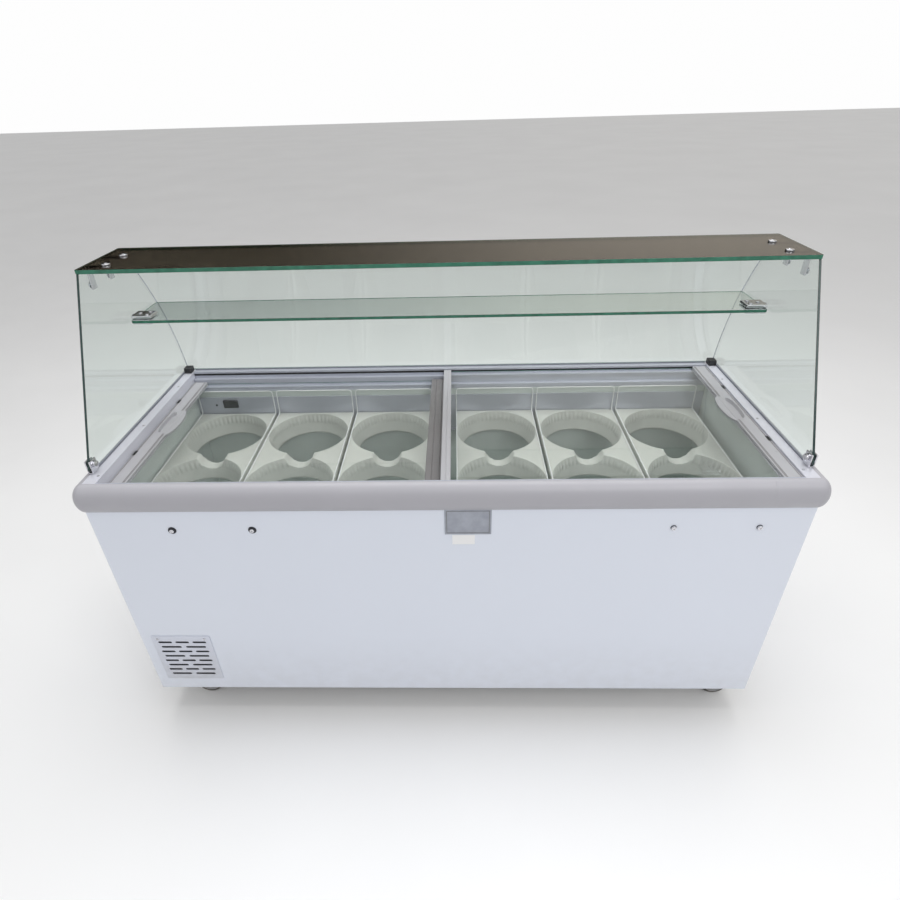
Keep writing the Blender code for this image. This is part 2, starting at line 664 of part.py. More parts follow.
def make_compressor():
    """Hermetic compressor: a turned pot on a foot plate, with its relay box."""
    x, y, floor = -0.660, 0.130, BASE_Z + 0.0025
    profile = [(0.0, 0.190)] + ellipse_arc((0.0, 0.142), 0.078, 0.048, 75, 0, 5)
    profile += ellipse_arc((0.0, 0.065), 0.078, 0.045, 0, -75, 5) + [(0.0, 0.020)]
    pot = turned("compressor", profile, (x, y, floor), "black_metal", 20)
    plate = box("compressor_plate", (x - 0.085, y - 0.065, floor), (x + 0.085, y + 0.065, floor + 0.026))
    relay = box("compressor_relay", (x + 0.060, y - 0.030, floor + 0.080),
                (x + 0.098, y + 0.030, floor + 0.140))
    join(pot, plate, relay)


FAN_CENTER = (-0.756, -0.250, 0.236)


def make_condenser():
    x, _, z = FAN_CENTER
    half, near_y, far_y = 0.108, -0.320, -0.276
    core = box("condenser", (x - half, near_y, z - half), (x + half, far_y, z + half), "black_metal")
    for k in range(9):
        height = z + 0.021 * (k - 4)
        gap = box(f"condenser_gap_{k}", (x - half + 0.008, near_y - 0.01, height - 0.004),
                  (x + half - 0.008, far_y - 0.006, height + 0.004))
        cut(core, gap)


def make_fan():
    x, y, z = FAN_CENTER
    motor_y, radius = y + 0.018, 0.036
    motor = cylinder("fan_motor", (x, motor_y, z), (x, motor_y + 0.062, z), radius, "black_metal", 24)
    leg = box("fan_motor_leg", (x - 0.012, motor_y + 0.022, BASE_Z + 0.0025),
              (x + 0.012, motor_y + 0.040, z - radius + 0.004))
    foot = box("fan_motor_foot", (x - 0.040, motor_y + 0.010, BASE_Z + 0.0025),
               (x + 0.040, motor_y + 0.052, BASE_Z + 0.0065))
    join(motor, leg, foot)

    hub = cylinder("fan_blade", (0, 0.014, 0), (0, -0.014, 0), 0.022, "matte_grey", 24)
    hub.location = (x, y, z)
    plan = [(0.012, -0.010), (0.080, -0.026), (0.085, 0.0), (0.078, 0.026), (0.012, 0.010)]
    for k in range(5):
        vane = outline_solid(f"fan_vane_{k}", plan, 0.002, "XZ", (x, y, z))
        vane.data.transform(Matrix.Rotation(math.radians(24), 4, "X"))
        vane.data.transform(Matrix.Rotation(math.radians(72 * k), 4, "Y"))
        join(hub, vane)


# ---------------------------------------------------------------- fittings

def make_fittings():
    y = CABINET_Y + FIT_GAP
    box("rating_plate", (0.0, -y - 0.001, PANEL_TOP - 0.0785), (0.114, -y, PANEL_TOP - 0.0005), "foil")

    x, gland_y, gland_z = -CABINET_X - FIT_GAP, 0.200, 0.200
    gland = cylinder("cord_gland", (x, gland_y, gland_z), (x - 0.0146, gland_y, gland_z), 0.014,
                     "black_plastic", 20, 0.010)
    bore = cylinder("cord_gland_bore", (x + 0.01, gland_y, gland_z), (x - 0.03, gland_y, gland_z),
                    0.0045, sides=16)
    cut(gland, bore)


# ---------------------------------------------------------------- casters

CASTER_TRAIL = 0.028


def make_caster(label, x, y):
    """Swivel fork with its axle, and a wheel with a clearance bore."""
    top = BASE_Z - FIT_GAP
    axle_x = x + CASTER_TRAIL
    cheek, cheek_out = 0.0155, 0.0185
    race = cylinder(f"caster_fork_{label}", (0, 0, 0.0073), (0, 0, -0.0073), 0.026, "zinc", 24)
    race.location = (x, y, top - 0.0073)
    crown = box(f"caster_crown_{label}", (x - 0.018, y - 0.020, top - 0.0206),
                (x + 0.036, y + 0.020, top - 0.0140))
    join(race, crown)
    plan = [(x - 0.016, top - 0.018), (x + 0.034, top - 0.018), (axle_x + 0.013, WHEEL_RADIUS),
            (axle_x + 0.007, WHEEL_RADIUS - 0.012), (axle_x - 0.007, WHEEL_RADIUS - 0.012)]
    for side in (-1, 1):
        middle_y = y + side * (cheek + cheek_out) / 2
        join(race, outline_solid(f"caster_cheek_{label}_{side}", plan, cheek_out - cheek, "XZ",
                                 (0, middle_y, 0)))
    axle = cylinder(f"caster_axle_{label}", (axle_x, y - 0.0215, WHEEL_RADIUS),
                    (axle_x, y + 0.0215, WHEEL_RADIUS), 0.0040, sides=14)
    join(race, axle)

    bore, hub, rim = 0.0045, 0.0145, 0.0130
    half = [(0.012, hub), (0.012, rim - 0.003), (0.026, rim - 0.003), (0.029, rim),
            (WHEEL_RADIUS - 0.003, rim), (WHEEL_RADIUS, rim - 0.004)]
    profile = [(bore, hub)] + half + [(r, -h) for r, h in reversed(half)] + [(bore, -hub)]
    wheel = turned(f"caster_wheel_{label}", profile, (axle_x, y, WHEEL_RADIUS), "tread", 20, closed=True)
    wheel.rotation_euler = (math.pi / 2, 0, 0)


# ---------------------------------------------------------------- build

LOOKS = {
    "white_paint": finish_material("white_paint", (0.62, 0.65, 0.72), 0.35),
    "galvanised": finish_material("galvanised", (0.45, 0.46, 0.47), 0.45, 0.8),
    "liner_plastic": finish_material("liner_plastic", (0.50, 0.53, 0.50), 0.40),
    "foam": finish_material("foam", (0.75, 0.66, 0.42), 0.90),
    "copper": finish_material("copper", (0.72, 0.38, 0.22), 0.35, 1.0),
    "aluminium": finish_material("aluminium", (0.55, 0.56, 0.60), 0.32, 0.9),
    "bumper_plastic": finish_material("bumper_plastic", (0.36, 0.36, 0.38), 0.30),
    "glass": finish_material("glass", (0.75, 0.85, 0.80), 0.03, 0.0, 0.25),
    "chrome": finish_material("chrome", (0.78, 0.78, 0.80), 0.10, 1.0),
    "black_plastic": finish_material("black_plastic", (0.03, 0.03, 0.03), 0.45),
    "lid_plastic": finish_material("lid_plastic", (0.38, 0.38, 0.38), 0.40),
    "tray_plastic": finish_material("tray_plastic", (0.42, 0.42, 0.36), 0.55),
    "black_metal": finish_material("black_metal", (0.04, 0.04, 0.04), 0.45),
    "matte_grey": finish_material("matte_grey", (0.25, 0.25, 0.26), 0.60),
    "foil": finish_material("foil", (0.42, 0.45, 0.50), 0.40, 0.5),
    "zinc": finish_material("zinc", (0.60, 0.60, 0.62), 0.35, 0.9),
    "tread": finish_material("tread", (0.08, 0.08, 0.08), 0.60),
}


def build():
    clear_scene()
    make_base_pan()
    make_panels()
    make_vent_grille()
    make_liner()
    make_foam()
    make_evaporator()
    make_tracks()
    make_bumpers()
    make_glasses()
    for label, side in (("left", -1), ("right", 1)):
        make_top_bracket(f"top_bracket_{label}_near", side, BRACKET_Y[0])
        make_top_bracket(f"top_bracket_{label}_far", side, BRACKET_Y[1])
        make_shelf_clamp(f"shelf_clamp_{label}", side)
        make_base_bracket(f"base_bracket_{label}", side)
        make_corner_clip(f"corner_clip_{label}", side)
    near, far = FRONT_LIP - CREST_HALF_Y + LID_PLAY, CREST_HALF_Y - REAR_FLANGE - LID_PLAY
    make_lid("left", -1, LOWER_LEDGE_Z + FIT_GAP, (near + LEDGE, far - LEDGE), (0.004, -0.048))
    make_lid("right", 1, UPPER_LEDGE_Z + FIT_GAP, (near, far), (-0.008, 0.016))
    first = MIDDLE_GAP / 2 + TRAY_HALF_X
    offsets = [first + k * TRAY_PITCH for k in range(3)]
    middles = [TRAYS_MIDDLE_X - x for x in reversed(offsets)] + [TRAYS_MIDDLE_X + x for x in offsets]
    for index, middle_x in enumerate(middles, 1):
        make_tray(index, middle_x)
    make_tray_rails()
    make_compressor()
    make_condenser()
    make_fan()
    make_fittings()
    for x_label, x in (("left", -0.800), ("right", 0.800)):
        for y_label, y in (("front", -0.265), ("rear", 0.265)):
            make_caster(f"{y_label}_{x_label}", x, y)


build()
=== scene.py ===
"""Looks of the dipping freezer: fine pieces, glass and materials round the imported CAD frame.

+Z is up, -Y is the operator's side and +Y the customer's side. All lengths are in metres.
"""
import math

import bmesh
import bpy
from mathutils import Matrix, Vector


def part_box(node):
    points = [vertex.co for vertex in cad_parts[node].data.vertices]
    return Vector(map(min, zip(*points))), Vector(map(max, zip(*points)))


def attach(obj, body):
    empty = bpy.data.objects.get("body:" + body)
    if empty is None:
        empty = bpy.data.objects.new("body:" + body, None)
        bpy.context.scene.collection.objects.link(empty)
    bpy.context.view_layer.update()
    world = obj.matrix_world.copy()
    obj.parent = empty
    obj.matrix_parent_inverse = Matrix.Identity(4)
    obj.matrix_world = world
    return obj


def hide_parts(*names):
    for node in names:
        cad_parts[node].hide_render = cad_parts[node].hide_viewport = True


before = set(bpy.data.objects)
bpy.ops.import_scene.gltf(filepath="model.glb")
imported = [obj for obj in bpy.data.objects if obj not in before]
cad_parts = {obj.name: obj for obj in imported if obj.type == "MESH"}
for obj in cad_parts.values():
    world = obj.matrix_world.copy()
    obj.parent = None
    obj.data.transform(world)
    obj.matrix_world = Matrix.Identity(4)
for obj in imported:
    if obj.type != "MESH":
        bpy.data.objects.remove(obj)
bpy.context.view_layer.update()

# Places and sizes read from the frame
CREST_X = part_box("track_right")[1].x
CREST_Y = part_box("track_rear")[1].y
CREST_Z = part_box("track_rear")[1].z
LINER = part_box("inner_liner")
PANEL = (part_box("right_panel")[1].x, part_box("rear_panel")[1].y)
PANEL_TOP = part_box("front_panel")[1].z
GLASS_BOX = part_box("customer_glass")
SIDE_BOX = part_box("side_glass_right")
TOP_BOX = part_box("top_glass")
TRAY_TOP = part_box("tub_tray_1")[1].z
WHEEL_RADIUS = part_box("caster_wheel_front_left")[1].z / 2

FIT_GAP = 0.0004           # clearance between neighbouring parts, as in the CAD
SHARP = 35.0               # an edge that turns by more degrees than this stays sharp
LENGTHWISE, CROSSWISE = (0.03, 1, 1), (1, 0.03, 1)   # stretch of a grain that runs along X or Y


# ---------------------------------------------------------------- materials

def srgb(red, green, blue):
    """A screen colour, 0 to 255, as the linear colour that shaders take."""
    linear = []
    for value in (red, green, blue):
        value /= 255
        linear.append(value / 12.92 if value <= 0.04045 else ((value + 0.055) / 1.055) ** 2.4)
    return (*linear, 1.0)


def mix_colors(tree, factor, first, second):
    """The result of a colour mix; first and second are colours or sockets."""
    made = tree.nodes.new("ShaderNodeMix")
    made.data_type = "RGBA"
    tree.links.new(factor, made.inputs[0])
    for socket, value in ((made.inputs[6], first), (made.inputs[7], second)):
        if isinstance(value, tuple):
            socket.default_value = value
        else:
            tree.links.new(value, socket)
    return made.outputs[2]


def multiply(tree, first, second):
    made = tree.nodes.new("ShaderNodeMath")
    made.operation = "MULTIPLY"
    tree.links.new(first, made.inputs[0])
    tree.links.new(second, made.inputs[1])
    return made.outputs[0]


class Material:
    """A node material under construction, with short names for the nodes used here."""

    def __init__(self, name):
        self.made = bpy.data.materials.new(name)
        self.made.use_nodes = True
        self.tree = self.made.node_tree
        self.shader = self.tree.nodes["Principled BSDF"]
        self.output = self.tree.nodes["Material Output"]
        self.coords = self.node("ShaderNodeTexCoord")

    def node(self, kind, **inputs):
        made = self.tree.nodes.new(kind)
        for key, value in inputs.items():
            made.inputs[key.replace("_", " ")].default_value = value
        return made

    def link(self, source, target):
        self.tree.links.new(source, target)

    def noise(self, scale, detail=3.0, stretch=(1, 1, 1)):
        mapping = self.node("ShaderNodeMapping", Scale=stretch)
        self.link(self.coords.outputs["Object"], mapping.inputs["Vector"])
        made = self.node("ShaderNodeTexNoise", Scale=scale, Detail=detail)
        self.link(mapping.outputs["Vector"], made.inputs["Vector"])
        return made.outputs["Fac"]

    def ranged(self, source, low, high, start=0.3, end=0.7):
        made = self.node("ShaderNodeMapRange", From_Min=start, From_Max=end, To_Min=low, To_Max=high)
        self.link(source, made.inputs["Value"])
        return made.outputs["Result"]

    def color(self, source, first, second):
        return mix_colors(self.tree, source, first, second)

    def times(self, first, second):
        return multiply(self.tree, first, second)

    def bump(self, source, strength, distance):
        made = self.node("ShaderNodeBump", Strength=strength, Distance=distance)
        self.link(source, made.inputs["Height"])
        self.link(made.outputs["Normal"], self.shader.inputs["Normal"])


def shade(color, factor):
    """A colour made lighter or darker."""
    return tuple(min(1.0, c * factor) for c in color[:3]) + (1.0,)


DUST = srgb(150, 142, 128)


def finish(name, color, roughness, metallic=0.0, grain=700.0, grain_depth=0.00004, spread=0.10,
           patch=6.0, stretch=(1, 1, 1), dust=0.0, coat=0.0, marks=0.10):
    """A surface with patchy colour, uneven gloss, fine grain and a little dust towards the floor."""
    m = Material(name)
    m.shader.inputs["Metallic"].default_value = metallic
    m.shader.inputs["Coat Weight"].default_value = coat
    m.shader.inputs["Coat Roughness"].default_value = 0.12
    patches = m.noise(patch, 4.0)
    darker, lighter = shade(color, 1.0 - spread / 2), shade(color, 1.0 + spread / 2)
    tone = m.color(m.ranged(patches, 0.0, 1.0), darker, lighter)
    if dust:
        low = m.node("ShaderNodeSeparateXYZ")
        m.link(m.coords.outputs["Object"], low.inputs[0])
        near_floor = m.ranged(low.outputs["Z"], dust, 0.0, 0.10, 0.34)
        soiled = m.times(near_floor, m.ranged(m.noise(24.0, 5.0), 0.2, 1.0))
        tone = m.color(soiled, tone, DUST)
    m.link(tone, m.shader.inputs["Base Color"])
    streaks = m.noise(grain / 20, 5.0, stretch)
    m.link(m.ranged(streaks, roughness * (1 - marks), roughness * (1 + marks) + marks * 0.06),
           m.shader.inputs["Roughness"])
    m.bump(m.noise(grain, 2.0, stretch), 0.35, grain_depth)
    return m.made


def glass(name, tint, shadow, smudge=0.035):
    """Sheet glass with faint wipe marks; shadow is the share of the lamps' light that it lets through."""
    m = Material(name)
    m.shader.inputs["Base Color"].default_value = tint
    m.shader.inputs["Transmission Weight"].default_value = 1.0
    m.shader.inputs["IOR"].default_value = 1.5
    wiped = m.times(m.noise(3.0, 4.0, (1, 2, 1)), m.noise(38.0, 3.0, (1, 6, 1)))
    m.link(m.ranged(wiped, 0.0, smudge, 0.24, 0.42), m.shader.inputs["Roughness"])
    clear = m.node("ShaderNodeBsdfTransparent", Color=(shadow, shadow, shadow, 1.0))
    path = m.node("ShaderNodeLightPath")
    mix = m.node("ShaderNodeMixShader")
    m.link(path.outputs["Is Shadow Ray"], mix.inputs[0])
    m.link(m.shader.outputs[0], mix.inputs[1])
    m.link(clear.outputs[0], mix.inputs[2])
    m.link(mix.outputs[0], m.output.inputs["Surface"])
    return m.made


def glass_edge(name, color):
    """The cut and polished rim of a sheet, where the glass shows its own colour."""
    m = Material(name)
    m.shader.inputs["IOR"].default_value = 1.5
    deep = m.ranged(m.noise(60.0, 3.0), 0.0, 1.0)
    m.link(m.color(deep, shade(color, 0.8), shade(color, 1.25)), m.shader.inputs["Base Color"])
    m.link(m.ranged(m.noise(220.0, 2.0), 0.10, 0.26), m.shader.inputs["Roughness"])
    return m.made


def foil_plate(name):
    """The blank rating plate's silver foil, faintly mottled."""
    m = Material(name)
    m.shader.inputs["Metallic"].default_value = 0.35
    patches = m.ranged(m.noise(40.0, 4.0), 0.0, 1.0)
    m.link(m.color(patches, srgb(148, 152, 162), srgb(166, 170, 180)), m.shader.inputs["Base Color"])
    m.link(m.ranged(m.noise(160.0, 3.0), 0.28, 0.42), m.shader.inputs["Roughness"])
    m.bump(m.noise(500.0, 2.0), 0.2, 0.00003)
    return m.made


def make_looks():
    """Every look by its name, the same as its material's name."""
    return {
        "white_paint": finish("white_paint", srgb(222, 227, 238), 0.28, spread=0.012, patch=2.5, grain=420,
                              grain_depth=0.00003, dust=0.14, coat=0.4, marks=0.02),
        "grille_paint": finish("grille_paint", srgb(212, 216, 228), 0.36, spread=0.05, grain=420, dust=0.5),
        "galvanised": finish("galvanised", srgb(150, 152, 155), 0.45, 0.85, patch=45, spread=0.35, dust=0.4),
        "liner_plastic": finish("liner_plastic", srgb(196, 204, 200), 0.34, spread=0.08, grain=90,
                                grain_depth=0.0002, patch=14, marks=0.3),
        "foam": finish("foam", srgb(226, 204, 150), 0.9, grain=260, grain_depth=0.0006, spread=0.2),
        "copper": finish("copper", srgb(190, 116, 82), 0.32, 1.0, spread=0.35, patch=60),
        "aluminium": finish("aluminium", srgb(188, 191, 202), 0.36, 0.45, stretch=LENGTHWISE, grain=1500,
                            grain_depth=0.000008, spread=0.04, patch=3, marks=0.12),
        "aluminium_end": finish("aluminium_end", srgb(216, 217, 226), 0.34, 0.30, stretch=CROSSWISE,
                                grain=1500, grain_depth=0.000008, spread=0.04, patch=3, marks=0.12),
        "bumper_plastic": finish("bumper_plastic", srgb(172, 171, 177), 0.48, spread=0.04, grain=520,
                                 grain_depth=0.00003, coat=0.15, marks=0.2),
        "clear_glass": glass("clear_glass", srgb(238, 245, 242), 0.97),
        # The top glass's bronze tint is a painted reflection: it darkens the sheet as a mirrored dim surround
        # would.
        "glass_with_painted_reflection": glass("glass_with_painted_reflection", srgb(112, 101, 88), 0.75, 0.02),
        "lid_glass": glass("lid_glass", srgb(249, 251, 250), 0.98, 0.05),
        "glass_rim": glass_edge("glass_rim", srgb(50, 112, 90)),
        "dark_rim": glass_edge("dark_rim", srgb(38, 58, 56)),
        "edge_seal": glass_edge("edge_seal", srgb(122, 130, 156)),
        "chrome": finish("chrome", srgb(214, 214, 218), 0.09, 1.0, spread=0.06, marks=0.4, patch=40),
        "black_plastic": finish("black_plastic", srgb(38, 38, 40), 0.45, spread=0.3, patch=30),
        "black_rubber": finish("black_rubber", srgb(30, 30, 31), 0.62, spread=0.3, patch=50, grain=900),
        "grey_rubber": finish("grey_rubber", srgb(120, 123, 132), 0.55, spread=0.15, patch=50, grain=900),
        "lid_plastic": finish("lid_plastic", srgb(172, 172, 176), 0.34, spread=0.04, grain=600, marks=0.2),
        "lid_dark": finish("lid_dark", srgb(118, 116, 117), 0.40, spread=0.06, grain=600, marks=0.2),
        "tray_plastic": finish("tray_plastic", srgb(188, 190, 184), 0.46, spread=0.04, grain=620,
                               grain_depth=0.00008, patch=9, marks=0.15),
        "wire": finish("wire", srgb(222, 224, 224), 0.35, spread=0.08, patch=60, coat=0.3),
        "black_metal": finish("black_metal", srgb(48, 48, 50), 0.42, 0.2, spread=0.3, patch=18, dust=0.5),
        "matte_grey": finish("matte_grey", srgb(120, 121, 123), 0.55, spread=0.15, patch=25),
        "foil": foil_plate("foil"),
        "paper": finish("paper", srgb(240, 240, 240), 0.55, spread=0.03, grain=900),
        "zinc": finish("zinc", srgb(178, 180, 184), 0.34, 0.9, spread=0.25, patch=70, dust=0.3),
        "tread": finish("tread", srgb(52, 52, 54), 0.62, spread=0.25, patch=40, dust=0.6),
        "hub": finish("hub", srgb(156, 157, 160), 0.45, spread=0.12, patch=40, dust=0.4),
        # Near-black: the rings round the front bolts, and painted shade on the screen behind the vent slots.
        "dark_ring_and_painted_shade": finish("dark_ring_and_painted_shade", srgb(26, 28, 36), 0.5, spread=0.2, patch=30),
    }


LOOKS = make_looks()


# ---------------------------------------------------------------- mesh helpers

def add(piece, body, look, replaced=(), others=()):
    """Gives a piece its looks and its body, and hides the CAD nodes that it stands for.

    look goes on most of the piece, and others on the faces with the material numbers from 1 on.
    """
    for name in (look, *others):
        piece.data.materials.append(LOOKS[name])
    if piece.name not in bpy.context.scene.collection.objects:
        bpy.context.scene.collection.objects.link(piece)
    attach(piece, body)
    if replaced:
        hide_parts(*replaced)
    return piece


def shade_rounded(mesh, sharp=SHARP):
    mesh.shade_smooth()
    mesh.set_sharp_from_angle(angle=math.radians(sharp))


def mesh_of(name, bm, sharp=SHARP):
    bmesh.ops.recalc_face_normals(bm, faces=bm.faces)
    mesh = bpy.data.meshes.new(name)
    bm.to_mesh(mesh)
    bm.free()
    shade_rounded(mesh, sharp)
    return mesh


def object_of(name, bm):
    return bpy.data.objects.new(name, mesh_of(name, bm))


def soften(piece, width, segments=2, angle=SHARP):
    """Rounds a piece's sharp edges."""
    edges = piece.modifiers.new("edges", "BEVEL")
    edges.width = width
    edges.segments = segments
    edges.limit_method = "ANGLE"
    edges.angle_limit = math.radians(angle)
    edges.harden_normals = True
    return piece


PLANES = {
    "XY": lambda a, b, h: (a, b, h),
    "XZ": lambda a, b, h: (a, h, b),
    "YZ": lambda a, b, h: (h, a, b),
}


def prism(name, outline, low, high, plane, cap_slot=0, side_slot=lambda k: 0):
    """A closed solid: an outline carried along the plane's third axis from low to high.

    cap_slot is the material number of its two flat ends, and side_slot(k) that of side k.
    """
    place = PLANES[plane]
    bm = bmesh.new()
    rings = [[bm.verts.new(place(a, b, h)) for a, b in outline] for h in (low, high)]
    for ring in rings:
        bm.faces.new(ring).material_index = cap_slot
    count = len(outline)
    for k in range(count):
        n = (k + 1) % count
        side = bm.faces.new((rings[0][k], rings[0][n], rings[1][n], rings[1][k]))
        side.material_index = side_slot(k)
    return object_of(name, bm)


def block(name, low, high):
    outline = [(low[0], low[1]), (high[0], low[1]), (high[0], high[1]), (low[0], high[1])]
    return prism(name, outline, low[2], high[2], "XY")


def stand(bm, base, axis):
    """Moves a shape made round Z to stand at base along axis."""
    turn = Vector((0, 0, 1)).rotation_difference(Vector(axis)).to_matrix().to_4x4()
    bmesh.ops.transform(bm, matrix=Matrix.Translation(base) @ turn, verts=bm.verts)


def turned(name, profile, base, axis, steps=40):
    """A solid of revolution from a (radius, height) profile, its height along axis from base."""
    bm = bmesh.new()
    angles = [2 * math.pi * k / steps for k in range(steps)]
    rings = []
    for radius, height in profile:
        if radius:
            rings.append([bm.verts.new((radius * math.cos(t), radius * math.sin(t), height)) for t in angles])
        else:
            rings.append([bm.verts.new((0, 0, height))])
    for first, second in zip(rings, rings[1:]):
        for k in range(steps):
            n = (k + 1) % steps
            corners = (first[k % len(first)], first[n % len(first)],
                       second[n % len(second)], second[k % len(second)])
            bm.faces.new(list(dict.fromkeys(corners)))
    for ring in (rings[0], rings[-1]):
        if len(ring) > 1:
            bm.faces.new(ring)
    stand(bm, base, axis)
    return object_of(name, bm)


def ring_turned(name, profile, base, axis, steps=48):
    """A ring: a closed (radius, height) profile turned about axis."""
    bm = bmesh.new()
    count = len(profile)
    rings = []
    for k in range(steps):
        t = 2 * math.pi * k / steps
        rings.append([bm.verts.new((r * math.cos(t), r * math.sin(t), h)) for r, h in profile])
    for k in range(steps):
        first, second = rings[k], rings[(k + 1) % steps]
        for j in range(count):
            n = (j + 1) % count
            bm.faces.new((first[j], first[n], second[n], second[j]))
    stand(bm, base, axis)
    return object_of(name, bm)


def skin_over(bm, rings):
    """Faces between each ring of points and the next, and the rings' vertices."""
    made = [[bm.verts.new(p) for p in ring] for ring in rings]
    count = len(rings[0])
    for first, second in zip(made, made[1:]):
        for k in range(count):
            n = (k + 1) % count
            bm.faces.new((first[k], first[n], second[n], second[k]))
    return made


def loft(name, rings):
    """A closed solid through rings of equally many points."""
    bm = bmesh.new()
    made = skin_over(bm, rings)
    bm.faces.new(made[0])
    bm.faces.new(made[-1])
    return object_of(name, bm)


def wire(name, points, radius):
    """A round wire through the points and back to the first."""
    curve = bpy.data.curves.new(name, "CURVE")
    curve.dimensions = "3D"
    curve.bevel_depth = radius
    curve.bevel_resolution = 3
    spline = curve.splines.new("POLY")
    spline.points.add(len(points) - 1)
    spline.use_cyclic_u = True
    for point, place in zip(spline.points, points):
        point.co = (*place, 1.0)
    return bpy.data.objects.new(name, curve)


def boolean(piece, other, operation):
    """Joins piece with a helper solid or cuts it, and removes the helper."""
    scene = bpy.context.scene.collection
    for item in (piece, other):
        if item.name not in scene.objects:
            scene.objects.link(item)
    step = piece.modifiers.new("shape", "BOOLEAN")
    step.operation = operation
    step.object = other
    bpy.context.view_layer.update()
    shaped = piece.evaluated_get(bpy.context.evaluated_depsgraph_get())
    mesh = bpy.data.meshes.new_from_object(shaped)
    piece.modifiers.remove(step)
    piece.data = mesh
    shade_rounded(mesh)
    bpy.data.objects.remove(other, do_unlink=True)


def arc(center, semi_a, semi_b, start, end, steps):
    """Points of an elliptic arc from start to end in degrees."""
    points = []
    for i in range(steps + 1):
        t = math.radians(start + (end - start) * i / steps)
        points.append((center[0] + semi_a * math.cos(t), center[1] + semi_b * math.sin(t)))
    return points


def rounded(low, high, radius, steps=5):
    """A rectangle with round corners."""
    points = []
    for a, b, start in ((high[0], high[1], 0), (low[0], high[1], 90), (low[0], low[1], 180),
                        (high[0], low[1], 270)):
        middle = (a - math.copysign(radius, a - (low[0] + high[0]) / 2),
                  b - math.copysign(radius, b - (low[1] + high[1]) / 2))
        points += arc(middle, radius, radius, start, start + 90, steps)
    return points


def slot_outline(middle, length, height):
    """A slot with round ends."""
    radius = height / 2
    reach = length / 2 - radius
    return (arc((middle[0] + reach, middle[1]), radius, radius, -90, 90, 8)
            + arc((middle[0] - reach, middle[1]), radius, radius, 90, 270, 8))


def upright_sheet(name, loops, thickness, at):
    """A thin plate across Y from an outline and its holes, rounded on its edges."""
    rounding = thickness * 0.14
    curve = bpy.data.curves.new(name, "CURVE")
    curve.dimensions = "2D"
    curve.fill_mode = "BOTH"
    curve.extrude = thickness / 2 - rounding
    curve.bevel_depth = rounding
    curve.bevel_resolution = 1
    curve.offset = -rounding
    for loop in loops:
        spline = curve.splines.new("POLY")
        spline.points.add(len(loop) - 1)
        spline.use_cyclic_u = True
        for point, (a, b) in zip(spline.points, loop):
            point.co = (a, b, 0.0, 1.0)
    maker = bpy.data.objects.new(name + "_outline", curve)
    maker.rotation_euler = (math.pi / 2, 0, 0)
    maker.location = at
    bpy.context.scene.collection.objects.link(maker)
    bpy.context.view_layer.update()
    raw = bpy.data.meshes.new_from_object(maker.evaluated_get(bpy.context.evaluated_depsgraph_get()))
    bm = bmesh.new()
    bm.from_mesh(raw)
    bmesh.ops.remove_doubles(bm, verts=bm.verts, dist=1e-6)
    bmesh.ops.transform(bm, matrix=maker.matrix_world, verts=bm.verts)
    bpy.data.objects.remove(maker, do_unlink=True)
    return object_of(name, bm)


# ---------------------------------------------------------------- carried-over CAD nodes

def dress_cad_nodes():
    plain = {
        "white_paint": ("front_panel", "rear_panel", "left_panel", "right_panel"),
        "galvanised": ("base_pan",),
        "liner_plastic": ("inner_liner",),
        "foam": ("insulation_foam",),
        "copper": ("evaporator_coil",),
        "aluminium": ("track_front", "track_rear", "tray_rail_front", "tray_rail_rear"),
        "aluminium_end": ("track_left", "track_right"),
        "black_plastic": ("cord_gland", "corner_clip_left", "corner_clip_right"),
        "black_metal": ("compressor", "condenser", "fan_motor"),
        "matte_grey": ("fan_blade",),
        "foil": ("rating_plate",),
    }
    for look, names in plain.items():
        for name in names:
            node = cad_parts[name]
            node.data.materials.clear()
            node.data.materials.append(LOOKS[look])


# ---------------------------------------------------------------- bumper

HALF_SEAM = 0.0002


def bumper_section():
    """Section as (distance out from the frame, height from the frame's top), inside the CAD bumper's box."""
    low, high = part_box("bumper_front")
    reach, depth = -low.y - CREST_Y, high.z - low.z
    root, lip = FIT_GAP, PANEL[1] - CREST_Y + FIT_GAP
    skin, widest = 0.003, 0.042
    outer = arc((root, -widest), reach - root, widest, 90, 0, 16)
    outer += arc((lip, -widest), reach - lip, depth - widest, 0, -90, 12)[1:]
    inner = arc((lip, -widest), reach - lip - skin, depth - widest - skin, -90, 0, 8)
    inner += arc((root, -widest), reach - root - skin, widest - skin, 0, 90, 10)[1:]
    return outer + inner


def make_bumpers():
    section = bumper_section()
    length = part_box("bumper_front")[1].x + HALF_SEAM
    for name, side in (("bumper_front", -1), ("bumper_rear", 1)):
        rings = [[(x, side * (CREST_Y + a), CREST_Z + b) for a, b in section]
                 for x in (-length, -length / 2, 0, length / 2, length)]
        add(loft(name + "_skin", rings), "cabinet", "bumper_plastic", [name])
    for name, side in (("bumper_left", -1), ("bumper_right", 1)):
        stations = [(length + HALF_SEAM, -CREST_Y, -90)]
        for corner_y, start in ((-CREST_Y, -90), (CREST_Y, 0)):
            stations += [(CREST_X, corner_y, start + 5 * i) for i in range(19)]
        stations.append((length + HALF_SEAM, CREST_Y, 90))
        rings = []
        for x, y, angle in stations:
            out_x, out_y = math.cos(math.radians(angle)), math.sin(math.radians(angle))
            rings.append([(side * (x + a * out_x), y + a * out_y, CREST_Z + b) for a, b in section])
        add(loft(name + "_skin", rings), "cabinet", "bumper_plastic", [name])


# ---------------------------------------------------------------- guard glass

CUSTOMER_RADIUS = 0.890    # the customer glass's bend
CUSTOMER_TOP_Y = 0.1395    # outer top edge of the customer glass
NEAR_TOP_Y = -0.0705       # near top corner of the side glasses
GASKET_NEAR_Y = -0.253
REAR_GASKET_X = 0.838


